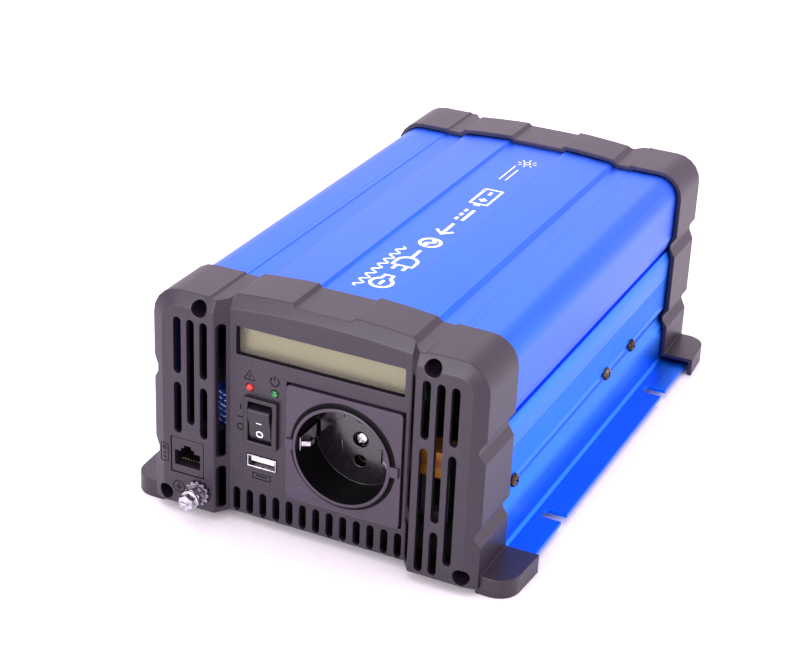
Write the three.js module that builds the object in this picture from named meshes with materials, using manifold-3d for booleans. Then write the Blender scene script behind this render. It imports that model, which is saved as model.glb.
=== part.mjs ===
// A 600 W class power inverter: an extruded aluminium case between two moulded end caps.
// Millimetres, +Z up, X across the case, -Y towards the mains socket end.
// The origin is at ground level, in the middle of the overall length and width.
import * as THREE from "three";
import { mergeVertices } from "three/addons/utils/BufferGeometryUtils.js";
import Module from "manifold-3d";

const wasm = await Module();
wasm.setup();

// ---- Driving dimensions ----

const CASE_LENGTH = 254; // over the two end caps
const FRONT_Y = -130; // outer plane of the socket end
const REAR_Y = FRONT_Y + CASE_LENGTH;
const GAP = 0.3; // between pieces that touch

const CAP = {
  depth: 30.4,
  halfWidth: 71.8,
  bottom: 3.4,
  wall: 2,
  frontWall: 2.5,
  cornerRadius: 12,
  chamfer: 5.5, // measured across the end face
  chamferDepth: 3,
  bottomChamfer: 1,
  recess: 6, // the middle panel lies this far behind the two side columns
  columnX: 43.2, // inner edge of a side column
  panelX: 38.8, // outer edge of the middle panel
};

const CROWN = {
  peak: 101.9, // where the arch of the top would reach on the centre line
  fall: 0.00139, // drop per mm squared away from the centre line
  cornerX: 48, // beyond this the top is flat
  cornerTop: 98.7,
};

const GROOVES = [
  { floor: 100.2, halfFloor: 11.7, halfTop: 13.9, centre: 0 },
  { floor: 98.1, halfFloor: 2.8, halfTop: 5.3, centre: -42.6 },
  { floor: 98.1, halfFloor: 2.8, halfTop: 5.3, centre: 42.6 },
];

const NOTCHES = [
  { top: 67.9, deepTop: 64.1, deepBottom: 61.9, bottom: 57.9 },
  { top: 31.0, deepTop: 27.5, deepBottom: 25.5, bottom: 21.8 },
];
const NOTCH_DEPTH = 2.4;
const NOTCH_WALL = 1; // the cap's skin is thinner at the bottom of a notch

const FOOT = { inner: 70, outer: 86, height: 8.3, front: 5, radius: 9, skin: 1.9 };

const HOUSING = {
  endSetback: 18, // from the cap's outer plane to the end of the extrusions
  halfWidth: 69.5,
  topDrop: 2.3, // below the outside of the caps
  wall: 1.8,
  seamTop: 63.6, // lower edge of the cover
  seamBottom: 60.6, // shoulder of the base's side wall
  seamInset: 1.4, // both edges curl in by this much towards the seam
};

const RIBS = { count: 9, pitch: 1.7, depth: 0.5, above: 3 }; // `above` the lower notch

const FLANGE = { halfWidth: 82.7, bottom: 3, top: 4.8, slotWidth: 6.4, slotEnd: 72.6 };
const FLANGE_SLOTS_Y = [-64, 61];

const SCREW_LOW = { x: 65.6, z: 8.3 };
const SCREW_HIGH = { x: 49.7, z: 93.6 };
const SCREW = {
  head: 2.9,
  headHeight: 2.4,
  headTop: 11, // depth of the head below the cap's outer plane
  shank: 1.45,
  length: 20,
  bore: 3.4, // radius of the well the head goes down
  pilot: 1.75,
};

const VENT = { width: 3.3, top: 88.3 };
const VENT_COLUMNS = [47.65, 53.55, 59.5];

const SIDE_SCREW = { z: 33.1, y: [-91.3, 12.9, 45.2], head: 3, headHeight: 1.9, shank: 1.5 };

const SOCKET = {
  x: 11.6,
  z: 43.6,
  plate: 50,
  recess: 19.75, // radius of the well a plug goes into
  collar: 21.8, // radius of the raised rim around it
  depth: 17.5,
  proud: 3,
  pinPitch: 19,
  pinRadius: 2.6,
  clip: 2.9, // half height of an earth clip
  ledge: 4.4, // from the well's floor to the contacts behind it
};
const LCD = { halfWidth: 36.3, bottom: 75.5, top: 87.5 };
const ROCKER = { x: -24.7, z: 48.4, width: 15, height: 21 };
const USB = { x: -24.6, z: 29.9, width: 13.1, height: 5.3 };
const LAMPS = { z: 62.4, radius: 1.5, faultX: -30.2, powerX: -19.1 };
const JACK = { x: -55.4, z: 26.6, width: 15.2, height: 16.3, depth: 18 };
const EARTH = { x: -50, z: 12.3, reach: 10.5 };

const FAN = { z: 57.5, size: 60, depth: 15, opening: 28, hub: 12, tip: 26.5, blades: 7 };
const TERMINAL = { x: 26, z: 15.5, reach: 16.5, radius: 8 };

const BOARD = { halfWidth: 62, bottom: 12, thickness: 1.6, front: -112, rear: 96 };

// ---- Materials ----

function finish(name, color, roughness, metalness) {
  return new THREE.MeshStandardMaterial({ name, color, roughness, metalness });
}

const MATERIALS = {
  anodised: finish("blue_anodised_aluminium", 0x2f5fe8, 0.38, 0.85),
  capPlastic: finish("end_cap_plastic", 0x5c5063, 0.62, 0),
  blackPlastic: finish("black_plastic", 0x1b191d, 0.35, 0),
  darkSteel: finish("black_steel", 0x1c1c20, 0.4, 0.9),
  nickel: finish("nickel_plate", 0xd8d8dc, 0.25, 1),
  brass: finish("brass", 0xc9a95a, 0.35, 1),
  glass: finish("display_window", 0xb5ae8c, 0.15, 0),
  liquidCrystal: finish("display_panel", 0xa8a284, 0.4, 0),
  laminate: finish("circuit_board", 0x1f5a36, 0.5, 0),
  whitePlastic: finish("white_plastic", 0xdcdad6, 0.4, 0),
  redLens: finish("red_lens", 0xc02018, 0.3, 0),
  greenLens: finish("green_lens", 0x2a8f3a, 0.3, 0),
  redPlastic: finish("red_plastic", 0xb81c1c, 0.4, 0),
  heatsink: finish("plain_aluminium", 0xb4b6ba, 0.4, 0.9),
  ferrite: finish("ferrite", 0x2d2c2e, 0.7, 0),
  tape: finish("amber_tape", 0xb5791f, 0.4, 0),
  sleeve: finish("capacitor_sleeve", 0x14246e, 0.35, 0),
  copper: finish("enamelled_copper", 0xa8552a, 0.35, 0.8),
};

// ---- Solids ----

function solid(geometry) {
  const bare = geometry.index ? geometry.toNonIndexed() : geometry.clone();
  for (const name of Object.keys(bare.attributes)) {
    if (name !== "position") bare.deleteAttribute(name);
  }
  const merged = mergeVertices(bare, 1e-4);
  const vertProperties = new Float32Array(merged.attributes.position.array);
  const triVerts = new Uint32Array(merged.index.array);
  const made = new wasm.Manifold(new wasm.Mesh({ numProp: 3, vertProperties, triVerts }));
  if (made.volume() > 0) return made;
  // A profile listed the other way round gives faces that point in: turn each one.
  for (let i = 0; i < triVerts.length; i += 3) {
    [triVerts[i + 1], triVerts[i + 2]] = [triVerts[i + 2], triVerts[i + 1]];
  }
  return new wasm.Manifold(new wasm.Mesh({ numProp: 3, vertProperties, triVerts }));
}

function union(list) {
  return list.reduce((sum, piece) => sum.add(piece));
}

function cut(body, tools) {
  return tools.reduce((left, tool) => left.subtract(tool), body);
}

function geometryOf(body) {
  const mesh = body.getMesh();
  const positions = new Float32Array(mesh.numVert * 3);
  for (let i = 0; i < mesh.numVert; i++) {
    const from = i * mesh.numProp;
    positions.set(mesh.vertProperties.subarray(from, from + 3), i * 3);
  }
  const geometry = new THREE.BufferGeometry();
  geometry.setAttribute("position", new THREE.BufferAttribute(positions, 3));
  geometry.setIndex(new THREE.BufferAttribute(new Uint32Array(mesh.triVerts), 1));
  geometry.computeVertexNormals();
  return geometry;
}

function box(x0, x1, y0, y1, z0, z1) {
  const geometry = new THREE.BoxGeometry(x1 - x0, y1 - y0, z1 - z0);
  return solid(geometry.translate((x0 + x1) / 2, (y0 + y1) / 2, (z0 + z1) / 2));
}

// An outline in X and Z, pushed along Y.
function prismY(outline, y0, y1) {
  const shape = new THREE.Shape(outline.map(([x, z]) => new THREE.Vector2(x, z)));
  const geometry = new THREE.ExtrudeGeometry(shape, { depth: y1 - y0, bevelEnabled: false });
  return solid(geometry.rotateX(Math.PI / 2).translate(0, y1, 0));
}

// An outline in X and Y, pushed along Z.
function prismZ(outline, z0, z1) {
  const shape = new THREE.Shape(outline.map(([x, y]) => new THREE.Vector2(x, y)));
  const geometry = new THREE.ExtrudeGeometry(shape, { depth: z1 - z0, bevelEnabled: false });
  return solid(geometry.translate(0, 0, z0));
}

function rodY(x, z, radius, y0, y1, sides = 24) {
  const geometry = new THREE.CylinderGeometry(radius, radius, y1 - y0, sides);
  return solid(geometry.translate(x, (y0 + y1) / 2, z));
}

function rodX(y, z, radius, x0, x1, sides = 16) {
  const geometry = new THREE.CylinderGeometry(radius, radius, x1 - x0, sides);
  return solid(geometry.rotateZ(Math.PI / 2).translate((x0 + x1) / 2, y, z));
}

function tubeY(x, z, outer, inner, y0, y1, sides = 24) {
  return rodY(x, z, outer, y0, y1, sides).subtract(rodY(x, z, inner, y0 - 1, y1 + 1, sides));
}

// Two numbers in rising order: a span that may have been mirrored.
function span(a, b) {
  return a < b ? [a, b] : [b, a];
}

function profileOf(pairs) {
  return pairs.map(([r, y]) => new THREE.Vector2(r, y));
}

function arc(cx, cy, radius, from, to, steps) {
  const points = [];
  for (let i = 0; i <= steps; i++) {
    const angle = from + ((to - from) * i) / steps;
    points.push([cx + radius * Math.cos(angle), cy + radius * Math.sin(angle)]);
  }
  return points;
}

// A long hole with round ends, upright in the X-Z plane.
function slotOutline(x, z0, z1, width) {
  const radius = width / 2;
  return [
    ...arc(x, z1 - radius, radius, 0, Math.PI, 4),
    ...arc(x, z0 + radius, radius, Math.PI, 2 * Math.PI, 4),
  ];
}

function mesh(name, body, material) {
  const made = new THREE.Mesh(geometryOf(body), material);
  made.name = name;
  return made;
}

// ---- End caps, in a frame with y = 0 at the outer plane and +y into the case ----

function topHeight(x) {
  const reach = Math.abs(x);
  return reach >= CROWN.cornerX ? CROWN.cornerTop : CROWN.peak - CROWN.fall * x * x;
}

function panelSetback(x) {
  const reach = Math.abs(x);
  const share = (CAP.columnX - reach) / (CAP.columnX - CAP.panelX);
  return CAP.recess * Math.min(1, Math.max(0, share));
}

const CROWN_STATIONS = [CROWN.cornerX, CAP.columnX, CAP.panelX, 30, 20, 10];

// Stations across the cap: where each lies, and how high the top is there, for a given inset.
function stations(inset, bottomInset) {
  const radius = Math.max(0.5, CAP.cornerRadius - inset);
  const centreX = CAP.halfWidth - CAP.cornerRadius;
  const centreZ = CROWN.cornerTop - CAP.cornerRadius;
  const left = arc(-centreX, centreZ, radius, Math.PI, Math.PI / 2, 5);
  const crown = [...CROWN_STATIONS.map((x) => -x), 0, ...CROWN_STATIONS.toReversed()];
  const middle = crown.map((x) => [x, topHeight(x) - inset]);
  const right = left.toReversed().map(([x, z]) => [-x, z]);
  const bottom = CAP.bottom + bottomInset;
  return [...left, ...middle, ...right].map(([x, z]) => ({ x, z, bottom }));
}

// A closed body through rings of stations: each ring has its own inset and its own y per station.
function loft(rings) {
  const count = rings[0].length;
  const positions = [];
  const index = [];
  for (const ring of rings) {
    for (const p of ring) positions.push(p.x, p.y, p.z);
    for (const p of ring) positions.push(p.x, p.y, p.bottom);
  }
  const at = (ring, low, i) => (ring * 2 + low) * count + i;
  const quad = (a, b, c, d) => index.push(a, b, c, a, c, d);
  const last = rings.length - 1;
  for (let i = 0; i + 1 < count; i++) {
    quad(at(0, 0, i), at(0, 1, i), at(0, 1, i + 1), at(0, 0, i + 1));
    quad(at(last, 0, i), at(last, 0, i + 1), at(last, 1, i + 1), at(last, 1, i));
    for (let r = 0; r < last; r++) {
      quad(at(r, 0, i), at(r, 0, i + 1), at(r + 1, 0, i + 1), at(r + 1, 0, i));
      quad(at(r, 1, i), at(r + 1, 1, i), at(r + 1, 1, i + 1), at(r, 1, i + 1));
    }
  }
  for (let r = 0; r < last; r++) {
    const end = count - 1;
    quad(at(r, 0, 0), at(r + 1, 0, 0), at(r + 1, 1, 0), at(r, 1, 0));
    quad(at(r, 0, end), at(r, 1, end), at(r + 1, 1, end), at(r + 1, 0, end));
  }
  const geometry = new THREE.BufferGeometry();
  geometry.setAttribute("position", new THREE.Float32BufferAttribute(positions, 3));
  geometry.setIndex(index);
  return solid(geometry);
}

function ringAt(inset, bottomInset, depth) {
  const plan = stations(0, 0).map((p) => panelSetback(p.x));
  return stations(inset, bottomInset).map((p, i) => ({ ...p, y: depth(plan[i]) }));
}

// Grooves along the top and notches along the sides, grown by `wall` for the inside of a shell.
function lengthwiseCuts(wall, y0, y1) {
  const above = 120;
  const grooves = GROOVES.map((g) => {
    const low = g.halfFloor + wall * 0.6;
    const high = g.halfTop + wall * 0.6;
    const slope = (high - low) / 2;
    const outline = [
      [g.centre - low, g.floor - wall],
      [g.centre + low, g.floor - wall],
      [g.centre + high, g.floor - wall + 2],
      [g.centre + high + slope, above],
      [g.centre - high - slope, above],
      [g.centre - high, g.floor - wall + 2],
    ];
    return prismY(outline, y0, y1);
  });
  const notches = NOTCHES.flatMap((n) =>
    [-1, 1].map((side) => {
      const edge = side * (CAP.halfWidth - wall);
      const deep = side * (CAP.halfWidth - NOTCH_DEPTH - Math.min(wall, NOTCH_WALL));
      const spread = wall * 0.3;
      const far = side * (CAP.halfWidth + 10);
      const outline = [
        [far, n.top + spread],
        [edge, n.top + spread],
        [deep, n.deepTop + spread],
        [deep, n.deepBottom - spread],
        [edge, n.bottom - spread],
        [far, n.bottom - spread],
      ];
      return prismY(outline, y0, y1);
    }),
  );
  return [...grooves, ...notches];
}

function footOutline(inset) {
  const { inner, outer, front, radius } = FOOT;
  const bend = arc(outer - radius - 1, front + radius, radius - inset, -Math.PI / 2, -0.1, 5);
  return [
    [inner, front + inset],
    ...bend,
    [outer - inset, CAP.depth],
    [inner, CAP.depth],
  ];
}

function feet() {
  return [-1, 1].map((side) => {
    const mirror = (points) => points.map(([x, y]) => [side * x, y]);
    const outer = mirror(footOutline(0));
    const inner = mirror(footOutline(FOOT.skin));
    inner[inner.length - 2][1] = CAP.depth + 2;
    inner[inner.length - 1][1] = CAP.depth + 2;
    const block = prismZ(outer, 0, FOOT.height);
    const hollow = prismZ(inner, -1, FOOT.height - FOOT.skin);
    return { block, hollow };
  });
}

function eachCorner(make) {
  return [SCREW_LOW, SCREW_HIGH].flatMap((p) => [-1, 1].map((side) => make(side * p.x, p.z)));
}

function capShell() {
  const { depth, chamfer, chamferDepth, bottomChamfer, wall, frontWall, halfWidth } = CAP;
  const outer = loft([
    ringAt(chamfer, bottomChamfer, (setback) => setback),
    ringAt(0, 0, (setback) => setback + chamferDepth),
    ringAt(0, 0, () => depth),
  ]);
  const below = -CAP.bottom - 3;
  const inner = loft([
    ringAt(chamfer + 1.5, below, (setback) => setback + frontWall),
    ringAt(wall, below, (setback) => setback + frontWall + chamferDepth),
    ringAt(wall, below, () => depth + 1),
  ]);
  const cavity = cut(inner, lengthwiseCuts(wall, -1, depth + 2));
  const [rightFoot, leftFoot] = feet();
  const bosses = eachCorner((x, z) => rodY(x, z, 4.6, frontWall, HOUSING.endSetback - GAP, 20));
  const bores = eachCorner((x, z) =>
    rodY(x, z, SCREW.bore, -1, SCREW.headTop + SCREW.headHeight + 0.1, 16).add(
      rodY(x, z, SCREW.pilot, 5, HOUSING.endSetback + 1, 12),
    ),
  );
  // The flange runs through the lower corner of each side wall into the hollow foot.
  const flangeWay = [-1, 1].map((side) => {
    const across = span(side * (halfWidth - 6), side * (halfWidth + 4.2));
    return box(...across, HOUSING.endSetback - 1, depth + 1, -1, FOOT.height - FOOT.skin);
  });
  let shell = cut(outer, lengthwiseCuts(0, -1, depth + 1));
  shell = shell.add(rightFoot.block).add(leftFoot.block);
  shell = cut(shell, [cavity, rightFoot.hollow, leftFoot.hollow]);
  const liner = outer.intersect(union(bosses));
  return cut(shell.add(liner), [...flangeWay, ...bores]);
}

function ventColumns(rows) {
  return rows.map(([x, z0, z1]) => prismY(slotOutline(x, z0, z1, VENT.width), -1, CAP.recess + 7));
}

// Wide slots in the slanted walls between the columns and the middle panel.
function cornerVents() {
  const x = CAP.columnX - 1.9;
  return [-1, 1].flatMap((side) =>
    [[29.6, VENT.top], [6.3, 25.5]].map(([z0, z1]) =>
      prismY(slotOutline(side * x, z0, z1, 2.6), -1, CAP.recess + 7),
    ),
  );
}

function frontCap() {
  const [inner, middle, outer] = VENT_COLUMNS;
  const through = [-1, CAP.recess + 8];
  const vents = ventColumns([
    [-outer, 63.6, VENT.top], [-outer, 36.9, 59.8],
    [-middle, 41.9, VENT.top],
    [-inner, 63.6, VENT.top], [-inner, 36.9, 59.8],
    [inner, 63.6, VENT.top], [inner, 5.6, 59.8],
    [middle, 28.8, VENT.top], [middle, 5.6, 24.9],
    [outer, 63.6, VENT.top], [outer, 11.6, 59.8],
  ]);
  const rowCount = 13;
  const rowPitch = 6;
  const row = [];
  for (let i = 0; i < rowCount; i++) {
    const x = (i - (rowCount - 1) / 2) * rowPitch;
    row.push(prismY(slotOutline(x, 4.9, 15.9, 3), ...through));
  }
  const half = SOCKET.plate / 2 + 0.5;
  const openings = [
    box(-LCD.halfWidth, LCD.halfWidth, ...through, LCD.bottom, LCD.top),
    box(SOCKET.x - half, SOCKET.x + half, ...through, SOCKET.z - half, SOCKET.z + half),
    box(ROCKER.x - 6.7, ROCKER.x + 6.7, ...through, ROCKER.z - 9.7, ROCKER.z + 9.7),
    box(
      USB.x - USB.width / 2 - GAP, USB.x + USB.width / 2 + GAP, ...through,
      USB.z - USB.height / 2 - GAP, USB.z + USB.height / 2 + GAP,
    ),
    box(
      JACK.x - JACK.width / 2, JACK.x + JACK.width / 2, ...through,
      JACK.z - JACK.height / 2, JACK.z + JACK.height / 2,
    ),
    rodY(LAMPS.faultX, LAMPS.z, LAMPS.radius + GAP, ...through, 12),
    rodY(LAMPS.powerX, LAMPS.z, LAMPS.radius + GAP, ...through, 12),
    rodY(EARTH.x, EARTH.z, 2.4, ...through, 12),
  ];
  return cut(capShell(), [...vents, ...cornerVents(), ...row, ...openings]);
}

// A grille of three rings and six spokes over the fan.
function fanGrille() {
  const wallFront = CAP.recess;
  const wallRear = CAP.recess + CAP.frontWall;
  const rings = [[4, 0], [13, 10.8], [21, 18.8]].map(([outer, inner]) =>
    inner > 0
      ? tubeY(0, FAN.z, outer, inner, wallFront, wallRear, 28)
      : rodY(0, FAN.z, outer, wallFront, wallRear, 28),
  );
  const spokes = [0, 1, 2].map((i) => {
    const bar = new THREE.BoxGeometry(2 * FAN.opening + 1, CAP.frontWall, 1.8);
    bar.rotateY((i * Math.PI) / 3).translate(0, (wallFront + wallRear) / 2, FAN.z);
    return solid(bar);
  });
  return union([...rings, ...spokes]);
}

function rearCap() {
  const [inner, middle, outer] = VENT_COLUMNS;
  const vents = ventColumns(
    [-1, 1].flatMap((side) => [
      [side * outer, 63.6, VENT.top], [side * outer, 11.6, 59.8],
      [side * middle, 28.8, VENT.top], [side * middle, 5.6, 24.9],
      [side * inner, 63.6, VENT.top], [side * inner, 5.6, 59.8],
    ]),
  );
  const openings = [
    rodY(0, FAN.z, FAN.opening, -1, CAP.recess + 8, 36),
    rodY(-TERMINAL.x, TERMINAL.z, TERMINAL.radius - 1.5, -1, CAP.recess + 8, 20),
    rodY(TERMINAL.x, TERMINAL.z, TERMINAL.radius - 1.5, -1, CAP.recess + 8, 20),
  ];
  return cut(capShell(), [...vents, ...cornerVents(), ...openings]).add(fanGrille());
}

// ---- Extruded case ----

function housingTop(x) {
  return topHeight(x) - HOUSING.topDrop;
}

const EXTRUSION = [FRONT_Y + HOUSING.endSetback, REAR_Y - HOUSING.endSetback];

// The arch of the cover from its right corner to its left one, measured in from the outer skin.
function coverArch(inset) {
  const side = HOUSING.halfWidth - inset;
  const radius = CAP.cornerRadius - HOUSING.topDrop - inset;
  const centreZ = housingTop(CROWN.cornerX) - inset - radius;
  const right = arc(side - radius, centreZ, radius, 0, Math.PI / 2, 6);
  const crown = [CROWN.cornerX, 38, 28, 14];
  const across = [...crown, ...crown.toReversed().map((x) => -x)];
  const left = right.toReversed().map(([x, z]) => [-x, z]);
  return [...right, ...across.map((x) => [x, housingTop(x) - inset]), ...left];
}

// The cover's section: its lower edges curl in towards the seam.
function coverSection() {
  const { wall, seamTop, halfWidth, seamInset } = HOUSING;
  const lip = [
    [halfWidth - wall, seamTop + 7],
    [halfWidth - wall - seamInset, seamTop + 4],
    [halfWidth - wall - seamInset, seamTop],
    [halfWidth - seamInset, seamTop],
    [halfWidth - seamInset, seamTop + 1.2],
    [halfWidth, seamTop + 5],
  ];
  const mirrored = lip.toReversed().map(([x, z]) => [-x, z]);
  return [...lip, ...coverArch(0), ...mirrored, ...coverArch(wall).toReversed()];
}

function topCover() {
  const long = [EXTRUSION[0] - 1, EXTRUSION[1] + 1];
  const drop = HOUSING.topDrop - 0.3;
  const grooves = lengthwiseCuts(drop, ...long).slice(0, GROOVES.length);
  const sides = [-1, 1].map((side) => [side * HOUSING.halfWidth, HOUSING.seamTop + 6]);
  const outer = prismY([...coverArch(0), ...sides], ...EXTRUSION);
  const { x: screwX, z: screwZ } = SCREW_HIGH;
  const lugs = [-screwX, screwX].map((x) => rodY(x, screwZ - 0.3, 4, ...EXTRUSION, 14));
  const ports = [-screwX, screwX].map((x) => rodY(x, screwZ, SCREW.pilot, ...long, 10));
  // Thickening under each groove keeps the skin whole where the groove is rolled in.
  const backing = GROOVES.map((g) => {
    const half = g.halfTop + 1;
    const low = g.floor - drop - HOUSING.wall;
    return box(g.centre - half, g.centre + half, ...EXTRUSION, low, low + 2.6);
  });
  const body = prismY(coverSection(), ...EXTRUSION).add(union([...lugs, ...backing]).intersect(outer));
  return cut(body, [...grooves, ...ports]);
}

function baseOutline() {
  const { halfWidth, wall, seamBottom, seamTop, seamInset } = HOUSING;
  const notch = NOTCHES[1];
  const tongue = halfWidth - wall - seamInset - 0.4;
  const ribs = [];
  for (let i = 0; i < RIBS.count; i++) {
    const z = notch.top + RIBS.above + i * RIBS.pitch;
    const root = halfWidth - RIBS.depth;
    ribs.push([root, z], [root, z + 0.5], [halfWidth, z + 0.8], [halfWidth, z + 1.4]);
  }
  const right = [
    [halfWidth, FLANGE.bottom],
    [FLANGE.halfWidth, FLANGE.bottom],
    [FLANGE.halfWidth, FLANGE.top],
    [halfWidth + 1.2, FLANGE.top],
    [halfWidth, FLANGE.top + 1.2],
    [halfWidth, notch.bottom - 3.2],
    [halfWidth - 0.8, notch.bottom - 0.2],
    [halfWidth - 0.4, notch.bottom],
    [halfWidth - NOTCH_DEPTH, notch.deepBottom],
    [halfWidth - NOTCH_DEPTH, notch.deepTop],
    [halfWidth, notch.top + 1.5],
    ...ribs,
    [halfWidth, seamBottom - 3.6],
    [halfWidth - seamInset, seamBottom - 0.4],
    [halfWidth - seamInset - 0.5, seamBottom],
    [tongue, seamBottom],
    [tongue, seamTop + 4],
    [tongue - 1.4, seamTop + 4],
    [tongue - 1.4, seamBottom - 2],
    [halfWidth - wall - 0.4, seamBottom - 6],
    [halfWidth - wall - 0.4, notch.top],
    [halfWidth - wall - NOTCH_DEPTH, notch.deepTop],
    [halfWidth - wall - NOTCH_DEPTH, FLANGE.top + 0.6],
    [halfWidth - wall - NOTCH_DEPTH - 0.6, FLANGE.top],
  ];
  const left = right.toReversed().map(([x, z]) => [-x, z]);
  return [...right, ...left];
}

function baseExtrusion() {
  const long = [EXTRUSION[0] - 1, EXTRUSION[1] + 1];
  const body = prismY(baseOutline(), ...EXTRUSION);
  const { x: screwX, z: screwZ } = SCREW_LOW;
  const lugs = [-1, 1].map((side) => rodY(side * (screwX - 0.4), screwZ, 3.6, ...EXTRUSION, 16));
  const ports = [-1, 1].map((side) => rodY(side * screwX, screwZ, SCREW.pilot, ...long, 12));
  const reach = FLANGE.halfWidth + 2;
  const slots = FLANGE_SLOTS_Y.flatMap((y) =>
    [-1, 1].map((side) => {
      const radius = FLANGE.slotWidth / 2;
      const points = [
        [reach, y + radius],
        ...arc(FLANGE.slotEnd + radius, y, radius, Math.PI / 2, (3 * Math.PI) / 2, 6),
        [reach, y - radius],
      ].map(([x, v]) => [side * x, v]);
      return prismZ(points, FLANGE.bottom - 1, FLANGE.top + 1);
    }),
  );
  const screwHoles = SIDE_SCREW.y.flatMap((y) =>
    [-1, 1].map((side) => {
      const through = span(side * 60, side * 75);
      return rodX(y, SIDE_SCREW.z, SIDE_SCREW.shank + 0.2, ...through, 12);
    }),
  );
  // The board slides in between a pair of rails on each side.
  const rails = [-1, 1].flatMap((side) =>
    [BOARD.bottom - 1.6, BOARD.bottom + BOARD.thickness + 0.3].map((z) => {
      const across = span(side * (BOARD.halfWidth - 1.5), side * 66);
      return box(...across, ...EXTRUSION, z, z + 1.3);
    }),
  );
  return cut(body.add(union([...lugs, ...rails])), [...ports, ...slots, ...screwHoles]);
}

// ---- Fasteners ----

// A screw along +Y with its head's outer face at y = 0; the drive is a cross.
function screwBody(headRadius, headHeight, shankRadius, length) {
  const profile = profileOf([
    [0, 0], [headRadius * 0.7, 0], [headRadius, headHeight * 0.5], [headRadius, headHeight],
    [shankRadius, headHeight], [shankRadius, length], [0, length],
  ]);
  const arm = headRadius * 0.6;
  const half = headRadius * 0.13;
  const deep = headHeight * 0.5;
  const drive = box(-arm, arm, -1, deep, -half, half).add(box(-half, half, -1, deep, -arm, arm));
  return solid(new THREE.LatheGeometry(profile, 10)).subtract(drive);
}

const CAP_SCREW = screwBody(SCREW.head, SCREW.headHeight, SCREW.shank, SCREW.length);
const WALL_SCREW = screwBody(SIDE_SCREW.head, SIDE_SCREW.headHeight, SIDE_SCREW.shank, 8.5);

// `leftward` is +1 where the assembly's own -X is the case's left, and -1 where it is turned round.
function capScrews(prefix, leftward) {
  const places = [
    ["lower_left", -leftward * SCREW_LOW.x, SCREW_LOW.z],
    ["lower_right", leftward * SCREW_LOW.x, SCREW_LOW.z],
    ["upper_left", -leftward * SCREW_HIGH.x, SCREW_HIGH.z],
    ["upper_right", leftward * SCREW_HIGH.x, SCREW_HIGH.z],
  ];
  return places.map(([corner, x, z]) => {
    const screw = mesh(prefix + "_screw_" + corner, CAP_SCREW, MATERIALS.darkSteel);
    screw.position.set(x, SCREW.headTop, z);
    return screw;
  });
}

function wallScrews() {
  return [-1, 1].flatMap((side) =>
    SIDE_SCREW.y.map((y, i) => {
      const name = "side_screw_" + (side < 0 ? "left_" : "right_") + (i + 1);
      const screw = mesh(name, WALL_SCREW, MATERIALS.darkSteel);
      screw.rotation.z = (side * Math.PI) / 2;
      screw.position.set(side * (HOUSING.halfWidth + SIDE_SCREW.headHeight + 0.1), y, SIDE_SCREW.z);
      return screw;
    }),
  );
}

// ---- Front fittings, in the cap's own frame ----

const PANEL = CAP.recess; // outer face of the middle panel
const PANEL_BACK = PANEL + CAP.frontWall;

function displayWindow() {
  const pane = box(-37.8, 37.8, PANEL_BACK + 0.3, PANEL_BACK + 1.5, LCD.bottom - 1.5, LCD.top + 1.5);
  const face = LCD.halfWidth - 0.4;
  return pane.add(box(-face, face, PANEL + 1.4, PANEL_BACK + 0.5, LCD.bottom + 0.4, LCD.top - 0.4));
}

function displayModule() {
  const front = PANEL_BACK + 1.8;
  const frame = box(-39, 39, front, front + 6, LCD.bottom - 3, LCD.top + 3);
  const pocket = box(-36, 36, front - 1, front + 1.2, LCD.bottom, LCD.top);
  return frame.subtract(pocket);
}

function displayBoard() {
  return box(-40, 40, PANEL_BACK + 8.2, PANEL_BACK + 9.8, LCD.bottom - 5, LCD.top + 3);
}

function lamp() {
  const radius = LAMPS.radius;
  const back = PANEL_BACK + 3;
  const profile = profileOf([
    [0, -0.9], [radius * 0.7, -0.5], [radius, 0.2], [radius, CAP.frontWall + 0.3],
    [radius + 0.5, CAP.frontWall + 0.3], [radius + 0.5, back - PANEL], [0, back - PANEL],
  ]);
  return solid(new THREE.LatheGeometry(profile, 12));
}

function switchFrame() {
  const { x, z, width, height } = ROCKER;
  const across = [x - width / 2, x + width / 2];
  const flange = box(...across, PANEL - 2, PANEL - 0.3, z - height / 2, z + height / 2);
  const body = box(x - 6.4, x + 6.4, PANEL - 0.5, PANEL + 15, z - 9.4, z + 9.4);
  const well = box(x - 5.3, x + 5.3, PANEL - 3, PANEL + 10, z - 8.7, z + 8.7);
  const pins = [z - 6, z, z + 6].map((at) =>
    box(x - 2.4, x + 2.4, PANEL + 14, PANEL + 20, at - 0.4, at + 0.4),
  );
  return cut(flange.add(body), [well]).add(union(pins));
}

// The rocker turns about a pivot behind the panel; at rest its lower half is pressed in.
const ROCKER_PIVOT_Y = PANEL + 4.5;
const ROCKER_TILT = THREE.MathUtils.degToRad(11);

function rockerBody() {
  const half = 7.6;
  const face = [[-1, -5.4], [-0.95, -6.5], [-0.5, -7], [0, -6.5], [0.5, -7], [0.95, -6.5], [1, -5.4]];
  // Outline in Z (first) and Y (second) about the pivot.
  const outline = [
    ...face.map(([share, y]) => [share * half, y]),
    [half, -2.2], [3, 3], [1.2, 3.6], [-1.2, 3.6], [-3, 3], [-half, -2.2],
  ];
  const shape = new THREE.Shape(outline.map(([z, y]) => new THREE.Vector2(y, z)));
  const width = 9.8;
  const geometry = new THREE.ExtrudeGeometry(shape, { depth: width, bevelEnabled: false });
  geometry.translate(0, 0, -width / 2);
  // The outline's two axes become Y and Z, and its depth becomes X.
  const turn = new THREE.Matrix4().makeBasis(
    new THREE.Vector3(0, 1, 0), new THREE.Vector3(0, 0, 1), new THREE.Vector3(1, 0, 0),
  );
  return solid(geometry.applyMatrix4(turn));
}

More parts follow.
